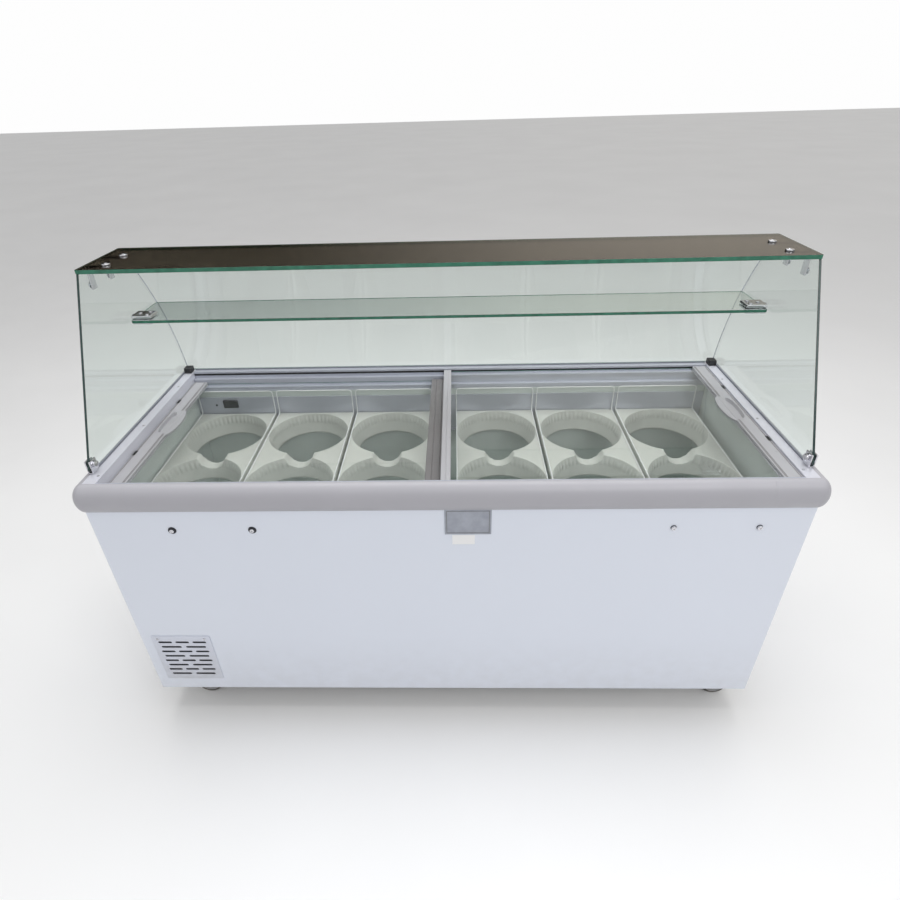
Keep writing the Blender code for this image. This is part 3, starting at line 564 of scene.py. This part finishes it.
def far_arc(inset):
    """The customer glass's section from bottom to top, set in from its outer face."""
    bottom = Vector((SIDE_BOX[1].y, SIDE_BOX[0].z))
    top = Vector((CUSTOMER_TOP_Y, SIDE_BOX[1].z))
    chord = top - bottom
    inward = Vector((-chord.y, chord.x)).normalized()
    center = (bottom + top) / 2 + inward * math.sqrt(CUSTOMER_RADIUS ** 2 - (chord.length / 2) ** 2)
    start = math.degrees(math.atan2(bottom.y - center.y, bottom.x - center.x))
    end = math.degrees(math.atan2(top.y - center.y, top.x - center.x))
    return arc(center, CUSTOMER_RADIUS - inset, CUSTOMER_RADIUS - inset, start, end, 48)


def make_guard_glass():
    """The four kinds of sheet and the gaskets under them, each sheet with rims of another look."""
    outer = far_arc(0.0)
    near, foot_z = SIDE_BOX[0].y, SIDE_BOX[0].z
    foot = arc((near + 0.0125, foot_z + 0.012), 0.0125, 0.012, 180, 270, 8)
    foot[0] = (near + 0.0030, foot_z + 0.014)
    outline = foot + outer + [(NEAR_TOP_Y, SIDE_BOX[1].z)]
    for side, name in ((-1, "left"), (1, "right")):
        low, high = sorted((side * SIDE_BOX[0].x, side * SIDE_BOX[1].x))
        sheet = prism(f"guard_side_{name}", outline, low, high, "YZ", 0, lambda k: 1)
        soften(sheet, 0.0009)
        add(sheet, "cabinet", "clear_glass", [f"side_glass_{name}"], ["dark_rim"])

    section = outer + far_arc(SIDE_BOX[1].x - SIDE_BOX[0].x)[::-1]
    ends = (len(outer) - 1, len(section) - 1)
    sheet = prism("guard_customer", section, GLASS_BOX[0].x, GLASS_BOX[1].x, "YZ", 2,
                  lambda k: 1 if k in ends else 0)
    soften(sheet, 0.0008)
    add(sheet, "cabinet", "clear_glass", ["customer_glass"], ["glass_rim", "edge_seal"])

    # The top sheet's glass carries a bronze tint that paints a dark reflection.
    for name, node, look in (("guard_top", "top_glass", "glass_with_painted_reflection"),
                             ("guard_shelf", "shelf_glass", "clear_glass")):
        low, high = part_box(node)
        sheet = prism(name, rounded(low, high, 0.006), low.z, high.z, "XY", 0, lambda k: 1)
        soften(sheet, 0.0010)
        add(sheet, "cabinet", look, [node], ["glass_rim"])

    for side, name in ((-1, "left"), (1, "right")):
        low, high = sorted((side * (SIDE_BOX[0].x - 0.0010), side * (SIDE_BOX[1].x + 0.0010)))
        seat = block(f"guard_gasket_{name}", (low, GASKET_NEAR_Y, CREST_Z + 0.0003),
                     (high, SIDE_BOX[1].y - 0.004, foot_z + 0.0015))
        add(soften(seat, 0.0006), "cabinet", "grey_rubber")
    seat = block("guard_gasket_rear", (-REAR_GASKET_X, SIDE_BOX[1].y - 0.0085, CREST_Z + 0.0003),
                 (REAR_GASKET_X, SIDE_BOX[1].y + 0.0005, foot_z - 0.0003))
    add(soften(seat, 0.0006), "cabinet", "grey_rubber")


# ---------------------------------------------------------------- chrome fittings of the guard

FACE = SIDE_BOX[0].x - FIT_GAP       # just inside the side glass
OUTSIDE = SIDE_BOX[1].x + FIT_GAP
BRACKET_TIP_X = 0.805                # inner end of a top bracket
STUD_X = 0.815


def domed(radius, height):
    """Profile of a flat round cap with a soft edge and a round dimple."""
    rim, dimple = 0.0012, 0.0012
    edge = arc((radius - rim, height - rim), rim, rim, 30, 90, 2)
    return [(0.0, 0.0), (radius, 0.0), (radius, height - rim), *edge,
            (radius * 0.42, height), (radius * 0.36, height - dimple), (0.0, height - dimple)]


def add_bolt(name, base, axis, width, cap_radius, cap_height):
    """A bolt through a sheet of this width, with a domed cap on the far side."""
    shank = 0.0045
    profile = [(0.0, -0.002), (shank, -0.002), (shank, width)]
    profile += [(r, h + width) for r, h in domed(cap_radius, cap_height)[1:]]
    add(turned(name, profile, base, axis), "cabinet", "chrome")


def make_hardware():
    for side, end in ((-1, "left"), (1, "right")):
        make_top_bracket(side, end, "near")
        make_top_bracket(side, end, "far")
        make_shelf_clamp(side, end)
        make_base_shoe(side, end)


def make_top_bracket(side, end, place):
    """A bent angle under the top glass, with a stud through that and a bolt through the side glass."""
    node = f"top_bracket_{end}_{place}"
    low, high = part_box(node)
    y, half = (low.y + high.y) / 2, (high.y - low.y) / 2
    under, over = TOP_BOX[0].z - FIT_GAP, TOP_BOX[1].z + FIT_GAP
    leg, bend = 0.004, 0.003
    section = [(FACE, low.z + 0.004), *arc((FACE - bend, under - bend), bend, bend, 0, 90, 4),
               (BRACKET_TIP_X, under), (BRACKET_TIP_X, under - leg),
               *arc((FACE - 2 * leg, under - 2 * leg), leg, leg, 90, 0, 4),
               (FACE - leg, low.z), (FACE, low.z)]
    section = [(side * a, b) for a, b in section]
    angle = soften(prism(f"bracket_{end}_{place}", section, y - half, y + half, "XZ"), 0.0012, 3)
    add(angle, "cabinet", "chrome", [node])
    add_bolt(f"bracket_stud_{end}_{place}", (side * STUD_X, y, under), (0, 0, 1), over - under, half, 0.004)
    add_bolt(f"bracket_bolt_{end}_{place}", (side * FACE, y, low.z + half), (side, 0, 0), OUTSIDE - FACE,
             half - 0.001, 0.003)


def make_shelf_clamp(side, end):
    """A block bolted to the side glass whose two jaws hold the shelf, with three screws on its top."""
    low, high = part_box(f"shelf_clamp_{end}")
    shelf_low, shelf_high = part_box("shelf_glass")
    y, middle = (low.y + high.y) / 2, (shelf_low.z + shelf_high.z) / 2
    half, grip = (high.y - low.y) / 2, (shelf_high.z - shelf_low.z) / 2 + FIT_GAP
    top, nose = middle - low.z, 0.005
    tip, root = FACE - 0.055, FACE - 0.0038
    section = [(FACE, top), *arc((tip + nose, top - nose), nose, nose, 90, 165, 5), (tip, grip), (root, grip),
               (root, -grip), (tip, -grip), *arc((tip + nose, nose - top), nose, nose, 195, 270, 5),
               (FACE, -top)]
    section = [(side * a, middle + b) for a, b in section]
    clamp = soften(prism(f"clamp_{end}", section, y - half, y + half, "XZ"), 0.0014, 3)
    add(clamp, "cabinet", "chrome", [f"shelf_clamp_{end}"])
    add_bolt(f"clamp_bolt_{end}", (side * FACE, y, middle), (side, 0, 0), OUTSIDE - FACE, 0.011, 0.003)
    for number, (inward, across) in enumerate(((0.041, -0.011), (0.041, 0.011), (0.017, 0.0))):
        screw = turned(f"clamp_screw_{end}_{number}", domed(0.0052, 0.0030),
                       (side * (FACE - inward), y + across, middle + top - 0.0004), (0, 0, 1), 24)
        add(screw, "cabinet", "chrome")


def make_base_shoe(side, end):
    """The U that holds the side glass's near foot, with a knob inside and a cap outside."""
    low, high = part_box(f"base_bracket_{end}")
    wall, web = 0.004, SIDE_BOX[0].z - FIT_GAP
    inner, outer = FACE - wall, OUTSIDE + wall
    section = [(inner, low.z), (outer, low.z), (outer, high.z), (OUTSIDE, high.z), (OUTSIDE, web),
               (FACE, web), (FACE, high.z), (inner, high.z)]
    section = [(side * a, b) for a, b in section]
    shoe = soften(prism(f"shoe_{end}", section, low.y, high.y, "XZ"), 0.0013, 3)
    add(shoe, "cabinet", "chrome", [f"base_bracket_{end}"])
    y, z = (low.y + high.y) / 2, high.z - 0.013
    knob = [(0.0, 0.0), (0.0095, 0.0), (0.0095, 0.0012), (0.0070, 0.0020), (0.0070, 0.0034), (0.0088, 0.0044),
            (0.0088, 0.0062), (0.0074, 0.0075), (0.0, 0.0080)]
    add(turned(f"shoe_knob_{end}", knob, (side * inner, y, z), (-side, 0, 0)), "cabinet", "chrome")
    cap = turned(f"shoe_cap_{end}", domed(0.0085, 0.0024), (side * outer, y, z), (side, 0, 0))
    add(cap, "cabinet", "chrome")


# ---------------------------------------------------------------- lids

PULL_STILE = 0.043         # width of the stile with the finger pull
PULL_Y = 0.020             # middle of the finger pull
POCKET_X = 0.0215          # middle of the pull's pocket, in from the stile's edge
SLOT_DEPTH = 0.008         # how far a pane reaches into a stile, with its clearance
RIBS_IN = (0.0046, 0.0352, 0.0386)   # the pull stile's ribs, in from its edge
STOP_Y = 0.145


def stile_section(near, far, box_low, box_high, pane_z, grooves):
    """Section of a stile as (x, z): flat underside, grooved top, and a slot for the pane at far.

    near is the x of the edge away from the pane, far that of the edge with the slot and pane_z the
    pane's (low, high) z.
    """
    toward = 1 if far > near else -1
    width = abs(far - near)
    low, high, edge = box_low.z, box_high.z, 0.0012
    section = [(near, high - edge), (near + toward * edge, high)]
    for k in range(grooves):
        x = near + toward * (0.006 + (width - 0.012) * (k + 0.5) / grooves)
        section += [(x - toward * 0.0014, high), (x - toward * 0.0008, high - 0.0014),
                    (x + toward * 0.0008, high - 0.0014), (x + toward * 0.0014, high)]
    section += [(far - toward * edge, high), (far, high - edge)]
    root = far - toward * SLOT_DEPTH
    slot_low, slot_high = pane_z[0] - FIT_GAP, pane_z[1] + FIT_GAP
    section += [(far, slot_high), (root, slot_high), (root, slot_low), (far, slot_low)]
    return section + [(far, low), (near, low)]


def make_lid(label, side):
    """One lid with its pull at the end that side names; its four pieces ride on the same body."""
    body = f"lid_{label}"
    pane_low, pane_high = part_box(f"lid_{label}_glass")
    pane_z = (pane_low.z, pane_high.z)
    low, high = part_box(f"lid_{label}_outer_stile")
    edge = side * max(abs(low.x), abs(high.x))
    facing = edge - side * PULL_STILE
    make_pull_stile(label, side, edge, facing, pane_z)

    inner_low, inner_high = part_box(f"lid_{label}_inner_stile")
    ends = sorted((inner_low.x, inner_high.x), key=lambda x: abs(x - facing))
    grooves, look = (1, "lid_plastic") if label == "right" else (2, "lid_dark")
    section = stile_section(ends[1], ends[0], low, high, pane_z, grooves)
    stile = prism(f"lid_{label}_meeting_stile", section, low.y, high.y, "XZ")
    add(soften(stile, 0.0005), body, look, [f"lid_{label}_inner_stile"])

    outline = [(pane_low.x, pane_low.y), (pane_high.x, pane_low.y), (pane_high.x, pane_high.y),
               (pane_low.x, pane_high.y)]
    pane = prism(f"lid_{label}_pane", outline, *pane_z, "XY", 0, lambda k: 1)
    add(soften(pane, 0.0004), body, "lid_glass", [f"lid_{label}_glass"], ["glass_rim"])

    for end in (-1, 1):
        x, y = edge - side * 0.0035, end * STOP_Y
        stop = block(f"lid_{label}_stop_{end + 1}", (x - 0.0035, y - 0.011, low.z + 0.002),
                     (x + 0.0035, y + 0.011, high.z + 0.0008))
        add(soften(stop, 0.0008), body, "black_rubber")


def make_pull_stile(label, side, edge, facing, pane_z):
    """The outer stile: a lip over the pane with a pocket beside it for the fingers, and three ribs."""
    body = f"lid_{label}"
    low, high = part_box(f"lid_{label}_outer_stile")
    section = stile_section(edge, facing, low, high, pane_z, 0)
    stile = prism(f"lid_{label}_pull_stile", section, low.y, high.y, "XZ")
    lip_plan = [(facing - side * a, PULL_Y + b) for a, b in arc((-0.004, 0.0), 0.022, 0.072, -90, 90, 40)]
    boolean(stile, prism("lip", lip_plan, pane_z[1] + FIT_GAP, high.z - 0.0008, "XY"), "UNION")
    middle = (edge - side * POCKET_X, PULL_Y)
    mouth, floor = arc(middle, 0.0125, 0.060, 0, 354, 59), arc(middle, 0.0090, 0.054, 0, 354, 59)
    pocket = loft("pocket", [[(x, y, high.z + 0.001) for x, y in mouth],
                             [(x, y, high.z - 0.009) for x, y in floor]])
    boolean(stile, pocket, "DIFFERENCE")
    add(soften(stile, 0.0008, 2, 40), body, "lid_plastic", [f"lid_{label}_outer_stile"])
    for number, inward in enumerate(RIBS_IN):
        x = edge - side * inward
        rib = block(f"lid_{label}_rib_{number}", (x - 0.0009, low.y + 0.003, high.z - 0.0004),
                    (x + 0.0009, high.y - 0.003, high.z + 0.0006))
        if number:
            gap = block("rib_gap", (x - 0.01, PULL_Y - 0.066, high.z - 0.02),
                        (x + 0.01, PULL_Y + 0.066, high.z + 0.02))
            boolean(rib, gap, "DIFFERENCE")
        add(soften(rib, 0.0004), body, "lid_dark")


# ---------------------------------------------------------------- trays

COLLAR_STEPS = 216         # points round a collar
DRAFT_STEPS = 14           # rings down a collar
RIBS = 54
COLLAR_Y = 0.130           # middle of a collar, from the tray's middle
COLLAR_TOP, COLLAR_FOOT = 0.122, 0.108   # its radii
FILLET = 0.0025
RELIEF = 0.0024            # depth of the collar's ribs
NOTCH_RADIUS = 0.041       # thumb notch between the collars
NOTCH_RISE = 0.007         # its axis, above the deck
NOTCH_END = 0.05           # how far it can reach from the tray's middle
WELD = 2e-5
WIRE_RISE = 0.084          # height of the wire's loops above the trays


def cell_border(theta, half_x, near, far):
    """Where a ray from the collar's centre meets the edge of its half of the tray."""
    cos_t, sin_t = math.cos(theta), math.sin(theta)
    reach = [half_x / abs(cos_t)] if abs(cos_t) > 1e-9 else []
    if abs(sin_t) > 1e-9:
        reach.append((far if sin_t > 0 else near) / abs(sin_t))
    return min(reach)


def tray_rings(side, half_x, half_y, depth):
    """Rings of points round one collar: up the tray's skirt, in over its deck and down the collar."""
    angles = [2 * math.pi * k / COLLAR_STEPS for k in range(COLLAR_STEPS)]
    far = half_y - COLLAR_Y
    reach = [cell_border(t, half_x, COLLAR_Y, far) for t in angles]
    for corner in ((half_x, far), (-half_x, far), (-half_x, -COLLAR_Y), (half_x, -COLLAR_Y)):
        t = math.atan2(corner[1], corner[0]) % (2 * math.pi)
        k = round(t / (2 * math.pi) * COLLAR_STEPS) % COLLAR_STEPS
        angles[k], reach[k] = t, math.hypot(*corner)
    # the edge between the two halves has no skirt
    shared = [abs(COLLAR_Y + r * math.sin(t)) < 1e-4 for r, t in zip(reach, angles)]

    def ring(radii, heights):
        made = []
        for t, radius, z in zip(angles, radii, heights):
            x, y = radius * math.cos(t), COLLAR_Y + radius * math.sin(t)
            if abs(x) < NOTCH_RADIUS and y < NOTCH_END and z > -depth + 0.004:
                z = min(z, NOTCH_RISE - math.sqrt(NOTCH_RADIUS ** 2 - x * x))
            made.append((x, side * y, z))
        return made

    def level(height):
        return [height] * COLLAR_STEPS

    rings = [ring(reach, [0.0 if joined else -depth for joined in shared]),
             ring(reach, [0.0 if joined else -0.0025 for joined in shared]),
             ring([r - (0 if joined else 0.0012) for r, joined in zip(reach, shared)], level(0.0)),
             ring([min(r - 0.0016, COLLAR_TOP + FILLET) for r in reach], level(0.0))]
    for degrees in (22.5, 45, 67.5, 90):
        t = math.radians(degrees)
        out = COLLAR_TOP + FILLET * (1 - math.sin(t))
        rings.append(ring([min(r - 0.0018, out) for r in reach], level(-FILLET * (1 - math.cos(t)))))
    for i in range(1, DRAFT_STEPS + 1):
        t = i / DRAFT_STEPS
        radius = COLLAR_TOP + (COLLAR_FOOT - COLLAR_TOP) * t
        relief = RELIEF * min(1.0, 6 * t) * max(0.0, min(1.0, (0.42 - t) * 12))
        radii = [radius - (relief if k * RIBS / COLLAR_STEPS % 1.0 < 0.5 else 0.0)
                 for k in range(COLLAR_STEPS)]
        rings.append(ring(radii, level(-FILLET - (depth - FILLET) * t)))
    return rings


def tray_mesh():
    """A moulded tray with two ribbed collars, about its own middle and with its top at zero."""
    low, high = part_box("tub_tray_1")
    bm = bmesh.new()
    for side in (-1, 1):
        skin_over(bm, tray_rings(side, (high.x - low.x) / 2, high.y, high.z - low.z))
    bmesh.ops.remove_doubles(bm, verts=bm.verts, dist=WELD)
    bmesh.ops.dissolve_degenerate(bm, edges=bm.edges, dist=WELD)
    return mesh_of("tray_moulding", bm, 50.0)


def tray_wire(low, high):
    """Points of the wire that rims a tray and stands up in a loop at each end."""
    bend, inset = 0.010, 0.0016
    left, right, end_y = low.x + inset, high.x - inset, high.y - inset
    base, top = TRAY_TOP + 0.0018, TRAY_TOP + WIRE_RISE
    upright = [(left, base + bend)] + arc((left + bend, top - bend), bend, bend, 180, 90, 5)
    upright += arc((right - bend, top - bend), bend, bend, 90, 0, 5) + [(right, base + bend)]
    turn = arc((end_y - bend, base + bend), bend, bend, -30, -90, 2)
    points = []
    for side, x, loop in ((1, right, upright), (-1, left, upright[::-1])):
        points += [(a, side * end_y, z) for a, z in loop]
        points += [(x, side * y, z) for y, z in turn]
        points += [(x, -side * y, z) for y, z in turn[::-1]]
    return points


def make_trays():
    mesh = tray_mesh()
    for number in range(1, 7):
        low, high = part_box(f"tub_tray_{number}")
        tray = bpy.data.objects.new(f"tray_moulding_{number}", mesh.copy())
        tray.location = ((low.x + high.x) / 2, 0, high.z)
        skin = tray.modifiers.new("skin", "SOLIDIFY")
        skin.thickness = 0.0022   # inward from the moulded face
        skin.offset = -1
        add(tray, "cabinet", "tray_plastic", [f"tub_tray_{number}"])
        add(wire(f"tray_wire_{number}", tray_wire(low, high), 0.0017), "cabinet", "wire")


# ---------------------------------------------------------------- small fittings

BOLTS = ((-0.680, False), (-0.478, False), (0.555, True), (0.760, True))   # x, and if its washer is small
BOLT_DROP = 0.0615         # below the panel's top
STICKER_X = (0.018, 0.074)
RAIL_SCREWS_Y = (0.19, -0.05, -0.29)
SENSOR_X = (-0.747, -0.699)
SENSOR_STUD_X = -0.772
SEAL_X = 0.836             # half the length of the rear track's seal
SEAL_IN = 0.0279           # its far face, in from the rear track's far edge
VENT_ROWS, VENT_PITCH = 8, 0.020
VENT_DROP = 0.026          # the first row, below the plate's top edge
VENT_SLOT = 0.008          # height of a slot


def make_front_details():
    front = -PANEL[1]
    for number, (x, small) in enumerate(BOLTS):
        z = PANEL_TOP - BOLT_DROP
        rim, radius = (0.0074, 0.0062) if small else (0.0105, 0.0056)
        ring = [(0.0, 0.0), (rim, 0.0), (rim - 0.0006, 0.0014), (0.0, 0.0018)]
        washer = turned(f"bolt_washer_{number}", ring, (x, front - 0.0002, z), (0, -1, 0))
        add(washer, "cabinet", "dark_ring_and_painted_shade")
        head = turned(f"bolt_head_{number}", domed(radius, 0.0042), (x, front - 0.0012, z), (0, -1, 0))
        add(head, "cabinet", "chrome")

    low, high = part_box("rating_plate")
    sticker = block("blank_sticker", (STICKER_X[0], front - 0.0006, low.z - 0.033),
                    (STICKER_X[1], front - 0.0002, low.z - 0.003))
    add(sticker, "cabinet", "paper")
    border = [rounded((low.x + inset, low.z + inset), (high.x - inset, high.z - inset), radius)
              for inset, radius in ((0.004, 0.002), (0.006, 0.0012))]
    add(upright_sheet("plate_border", border, 0.0003, (0, low.y - 0.0001, 0)), "cabinet", "matte_grey")


def make_grille():
    """Vent plate with rows of three short or two long slots, its screws and a dark screen behind it that
    paints the shade inside the vent.
    """
    low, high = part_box("vent_grille")
    x, y, z = (low + high) / 2
    half_x, half_z = (high.x - low.x) / 2, (high.z - low.z) / 2
    loops = [rounded((-half_x, -half_z), (half_x, half_z), 0.005)]
    for row in range(VENT_ROWS):
        height = half_z - VENT_DROP - row * VENT_PITCH
        count, length, pitch = ((3, 0.040, 0.050), (2, 0.059, 0.0715))[row % 2]
        loops += [slot_outline(((k - (count - 1) / 2) * pitch, height), length, VENT_SLOT)
                  for k in range(count)]
    plate = upright_sheet("vent_plate", loops, high.y - low.y, (x, y, z))
    add(plate, "cabinet", "grille_paint", ["vent_grille"])
    for number, across in enumerate((-0.068, 0.068)):
        screw = turned(f"vent_screw_{number}", domed(0.0042, 0.0022),
                       (x + across, low.y + 0.0002, z + half_z - 0.012), (0, -1, 0), 24)
        add(screw, "cabinet", "chrome")
    # A dark sheet behind the slots: painted shade of the space inside the vent.
    painted_shade_screen = block("vent_shadow_screen", (x - 0.074, low.y + 0.0130, z - 0.078),
                    (x + 0.074, low.y + 0.0140, z + 0.078))
    add(painted_shade_screen, "cabinet", "dark_ring_and_painted_shade")


def make_well_details():
    """The sensor and its stud on the rear liner wall, the end rails' screws and the rear track's seal."""
    wall = LINER[1].y - 0.002
    probe = block("sensor_body", (SENSOR_X[0], wall - 0.010, CREST_Z - 0.118),
                  (SENSOR_X[1], wall - 0.0005, CREST_Z - 0.090))
    add(soften(probe, 0.0018, 3), "cabinet", "black_plastic")
    stud = turned("sensor_stud", domed(0.0035, 0.003), (SENSOR_STUD_X, wall - 0.0030, CREST_Z - 0.109),
                  (0, -1, 0), 20)
    add(stud, "cabinet", "black_plastic")
    for number, y in enumerate(RAIL_SCREWS_Y):
        for side, end in ((-1, "left"), (1, "right")):
            screw = turned(f"rail_screw_{end}_{number}", domed(0.0034, 0.0012),
                           (side * (CREST_X - 0.0240), y, CREST_Z - 0.0002), (0, 0, 1), 20)
            add(screw, "cabinet", "zinc")
    y = CREST_Y - SEAL_IN
    seal = block("track_seal", (-SEAL_X, y - 0.0012, CREST_Z - 0.0120), (SEAL_X, y, CREST_Z - 0.0060))
    add(seal, "cabinet", "black_rubber")


# ---------------------------------------------------------------- casters

PIVOT_IN = 0.026           # the swivel's axis, in from the fork's low x
CHEEK_FACES = (0.0155, 0.0184)   # a cheek's inner and outer face, from the wheel's middle


def make_casters():
    for row in ("front", "rear"):
        for end in ("left", "right"):
            label = f"{row}_{end}"
            low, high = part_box(f"caster_wheel_{label}")
            axle, half = (low + high) / 2, (high.y - low.y) / 2
            make_wheel(label, axle, half)
            make_fork(label, axle)


def make_wheel(label, axle, half):
    radius = WHEEL_RADIUS
    tyre = arc((radius - 0.006, half - 0.0065), 0.006, 0.005, 90, 0, 6)
    tyre += [(r, -h) for r, h in reversed(tyre)]
    tyre += [(radius - 0.0085, -(half - 0.0015)), (radius - 0.0085, half - 0.0015)]
    add(ring_turned(f"wheel_tyre_{label}", tyre, axle, (0, 1, 0)), f"wheel_{label}", "tread",
        [f"caster_wheel_{label}"])
    core = [(0.0048, half), (0.0115, half), (0.0125, half - 0.0045), (0.0235, half - 0.0050),
            (0.0262, half - 0.0018), (radius - 0.0088, half - 0.0018)]
    core += [(r, -h) for r, h in reversed(core)]
    add(ring_turned(f"wheel_core_{label}", core, axle, (0, 1, 0)), f"wheel_{label}", "hub")


def make_fork(label, axle):
    """Swivel race, crown, two cheeks with their nuts, and the axle."""
    low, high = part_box(f"caster_fork_{label}")
    x, y, top = low.x + PIVOT_IN, (low.y + high.y) / 2, high.z
    body = f"fork_{label}"
    race = [(0.0, -0.0140), (0.0215, -0.0140), (0.0225, -0.0100), (0.0205, -0.0088), (0.0205, -0.0072),
            (0.0255, -0.0062), (0.0260, -0.0010), (0.0252, 0.0), (0.0, 0.0)]
    add(turned(f"fork_race_{label}", race, (x, y, top), (0, 0, 1)), body, "zinc", [f"caster_fork_{label}"])
    plan = rounded((x - 0.019, y - 0.0185), (x + 0.034, y + 0.0185), 0.008)
    crown = prism(f"fork_crown_{label}", plan, top - 0.0170, top - 0.0141, "XY")
    add(soften(crown, 0.0008), body, "zinc")
    nut_profile = [(0.0, 0.0), (0.0070, 0.0), (0.0070, 0.0028), (0.0062, 0.0034), (0.0, 0.0036)]
    for side in (-1, 1):
        outline = [(x - 0.017, top - 0.0165), (x + 0.032, top - 0.0165)]
        outline += arc((axle.x, axle.z), 0.012, 0.012, 15, -195, 14)
        faces = sorted(y + side * face for face in CHEEK_FACES)
        cheek = prism(f"fork_cheek_{label}_{side + 1}", outline, *faces, "XZ")
        add(soften(cheek, 0.0009), body, "zinc")
        nut = turned(f"fork_nut_{label}_{side + 1}", nut_profile, (axle.x, y + side * CHEEK_FACES[1], axle.z),
                     (0, side, 0), 6)
        add(nut, body, "zinc")
    pin = [(0.0, -0.0186), (0.0040, -0.0186), (0.0040, 0.0186), (0.0, 0.0186)]
    add(turned(f"fork_axle_{label}", pin, (axle.x, y, axle.z), (0, 1, 0), 20), body, "zinc")


# ---------------------------------------------------------------- stage, light and camera

# Camera fitted to the edges seen in the photograph
EYE = Vector((0.0342, -1.4156, 1.6742))
PITCH, YAW, ROLL = math.radians(31.45), math.radians(-2.18), math.radians(-1.78)
LENS, SENSOR = 23.0, 36.0  # in millimetres
SHIFT = (0.0123, -0.0200)
FLOOR_HALF = 30.0


def make_camera():
    """A standing person's view down at the front; PITCH is downwards."""
    forward = Vector((math.sin(YAW) * math.cos(PITCH), math.cos(YAW) * math.cos(PITCH), -math.sin(PITCH)))
    level = Vector((math.cos(YAW), -math.sin(YAW), 0.0))
    upright = level.cross(forward)
    right = math.cos(ROLL) * level + math.sin(ROLL) * upright
    up = -math.sin(ROLL) * level + math.cos(ROLL) * upright
    camera = bpy.data.objects.new("camera", bpy.data.cameras.new("camera"))
    camera.data.lens = LENS
    camera.data.sensor_width = SENSOR
    camera.data.shift_x, camera.data.shift_y = SHIFT
    turn = Matrix((right, up, -forward)).transposed().to_4x4()
    camera.matrix_world = Matrix.Translation(EYE) @ turn
    bpy.context.scene.collection.objects.link(camera)
    bpy.context.scene.camera = camera


def make_light(name, place, target, size, power, color=(1, 1, 1)):
    """A soft rectangular lamp that faces its target."""
    light = bpy.data.lights.new(name, "AREA")
    light.shape = "RECTANGLE"
    light.size, light.size_y = size
    light.energy = power
    light.color = color
    lamp = bpy.data.objects.new(name, light)
    lamp.location = place
    lamp.rotation_euler = (Vector(target) - Vector(place)).to_track_quat("-Z", "Y").to_euler()
    bpy.context.scene.collection.objects.link(lamp)


def make_world():
    """Studio surround: bright overhead, and a far wall, dim to the left, for the glass to mirror."""
    world = bpy.data.worlds.new("studio")
    bpy.context.scene.world = world
    world.use_nodes = True
    tree = world.node_tree
    background = tree.nodes["Background"]
    coords = tree.nodes.new("ShaderNodeTexCoord")
    split = tree.nodes.new("ShaderNodeSeparateXYZ")
    tree.links.new(coords.outputs["Generated"], split.inputs[0])

    def band(axis, low, high, first, last):
        made = tree.nodes.new("ShaderNodeMapRange")
        made.interpolation_type = "SMOOTHSTEP"
        for key, value in (("From Min", low), ("From Max", high), ("To Min", first), ("To Max", last)):
            made.inputs[key].default_value = value
        tree.links.new(split.outputs[axis], made.inputs["Value"])
        return made.outputs["Result"]

    sky = mix_colors(tree, band("Z", 0.0, 0.65, 0.0, 1.0), (0.46, 0.47, 0.49, 1), (1.0, 1.0, 1.0, 1))
    behind = multiply(tree, band("Y", 0.25, 0.60, 0.0, 1.0), band("Z", 0.36, 0.62, 1.0, 0.0))
    wall = mix_colors(tree, band("X", -0.35, 0.35, 0.0, 1.0), (0.014, 0.012, 0.010, 1), (0.80, 0.74, 0.66, 1))
    surround = mix_colors(tree, behind, sky, wall)
    seen = tree.nodes.new("ShaderNodeLightPath").outputs["Is Camera Ray"]
    backdrop = mix_colors(tree, seen, surround, (1.5, 1.5, 1.5, 1))
    tree.links.new(backdrop, background.inputs["Color"])
    background.inputs["Strength"].default_value = 0.66


def make_stage():
    """A plain pale floor."""
    bm = bmesh.new()
    corners = [(x * FLOOR_HALF, y * FLOOR_HALF, 0.0) for x, y in ((-1, -1), (1, -1), (1, 1), (-1, 1))]
    bm.faces.new([bm.verts.new(corner) for corner in corners])
    floor = object_of("floor", bm)
    m = Material("floor_paint")
    patches = m.ranged(m.noise(0.8, 3.0), 0.0, 1.0)
    m.link(m.color(patches, srgb(243, 243, 243), srgb(247, 247, 247)), m.shader.inputs["Base Color"])
    m.link(m.ranged(m.noise(5.0, 3.0), 0.55, 0.7), m.shader.inputs["Roughness"])
    floor.data.materials.append(m.made)
    bpy.context.scene.collection.objects.link(floor)


def make_lights():
    make_light("key", (1.6, -2.6, 3.0), (0.1, 0.0, 0.7), (2.4, 1.6), 30)
    make_light("fill", (-2.8, -1.8, 1.8), (0.0, 0.0, 0.6), (1.8, 1.8), 4, (0.95, 0.97, 1.0))
    make_light("overhead", (0.0, 0.3, 3.4), (0.0, 0.0, 0.7), (3.6, 2.0), 60)


make_camera()
make_world()
make_stage()
make_lights()
dress_cad_nodes()
make_bumpers()
make_guard_glass()
make_hardware()
make_lid("left", -1)
make_lid("right", 1)
make_trays()
make_front_details()
make_grille()
make_well_details()
make_casters()
bpy.context.scene.view_settings.view_transform = "Standard"
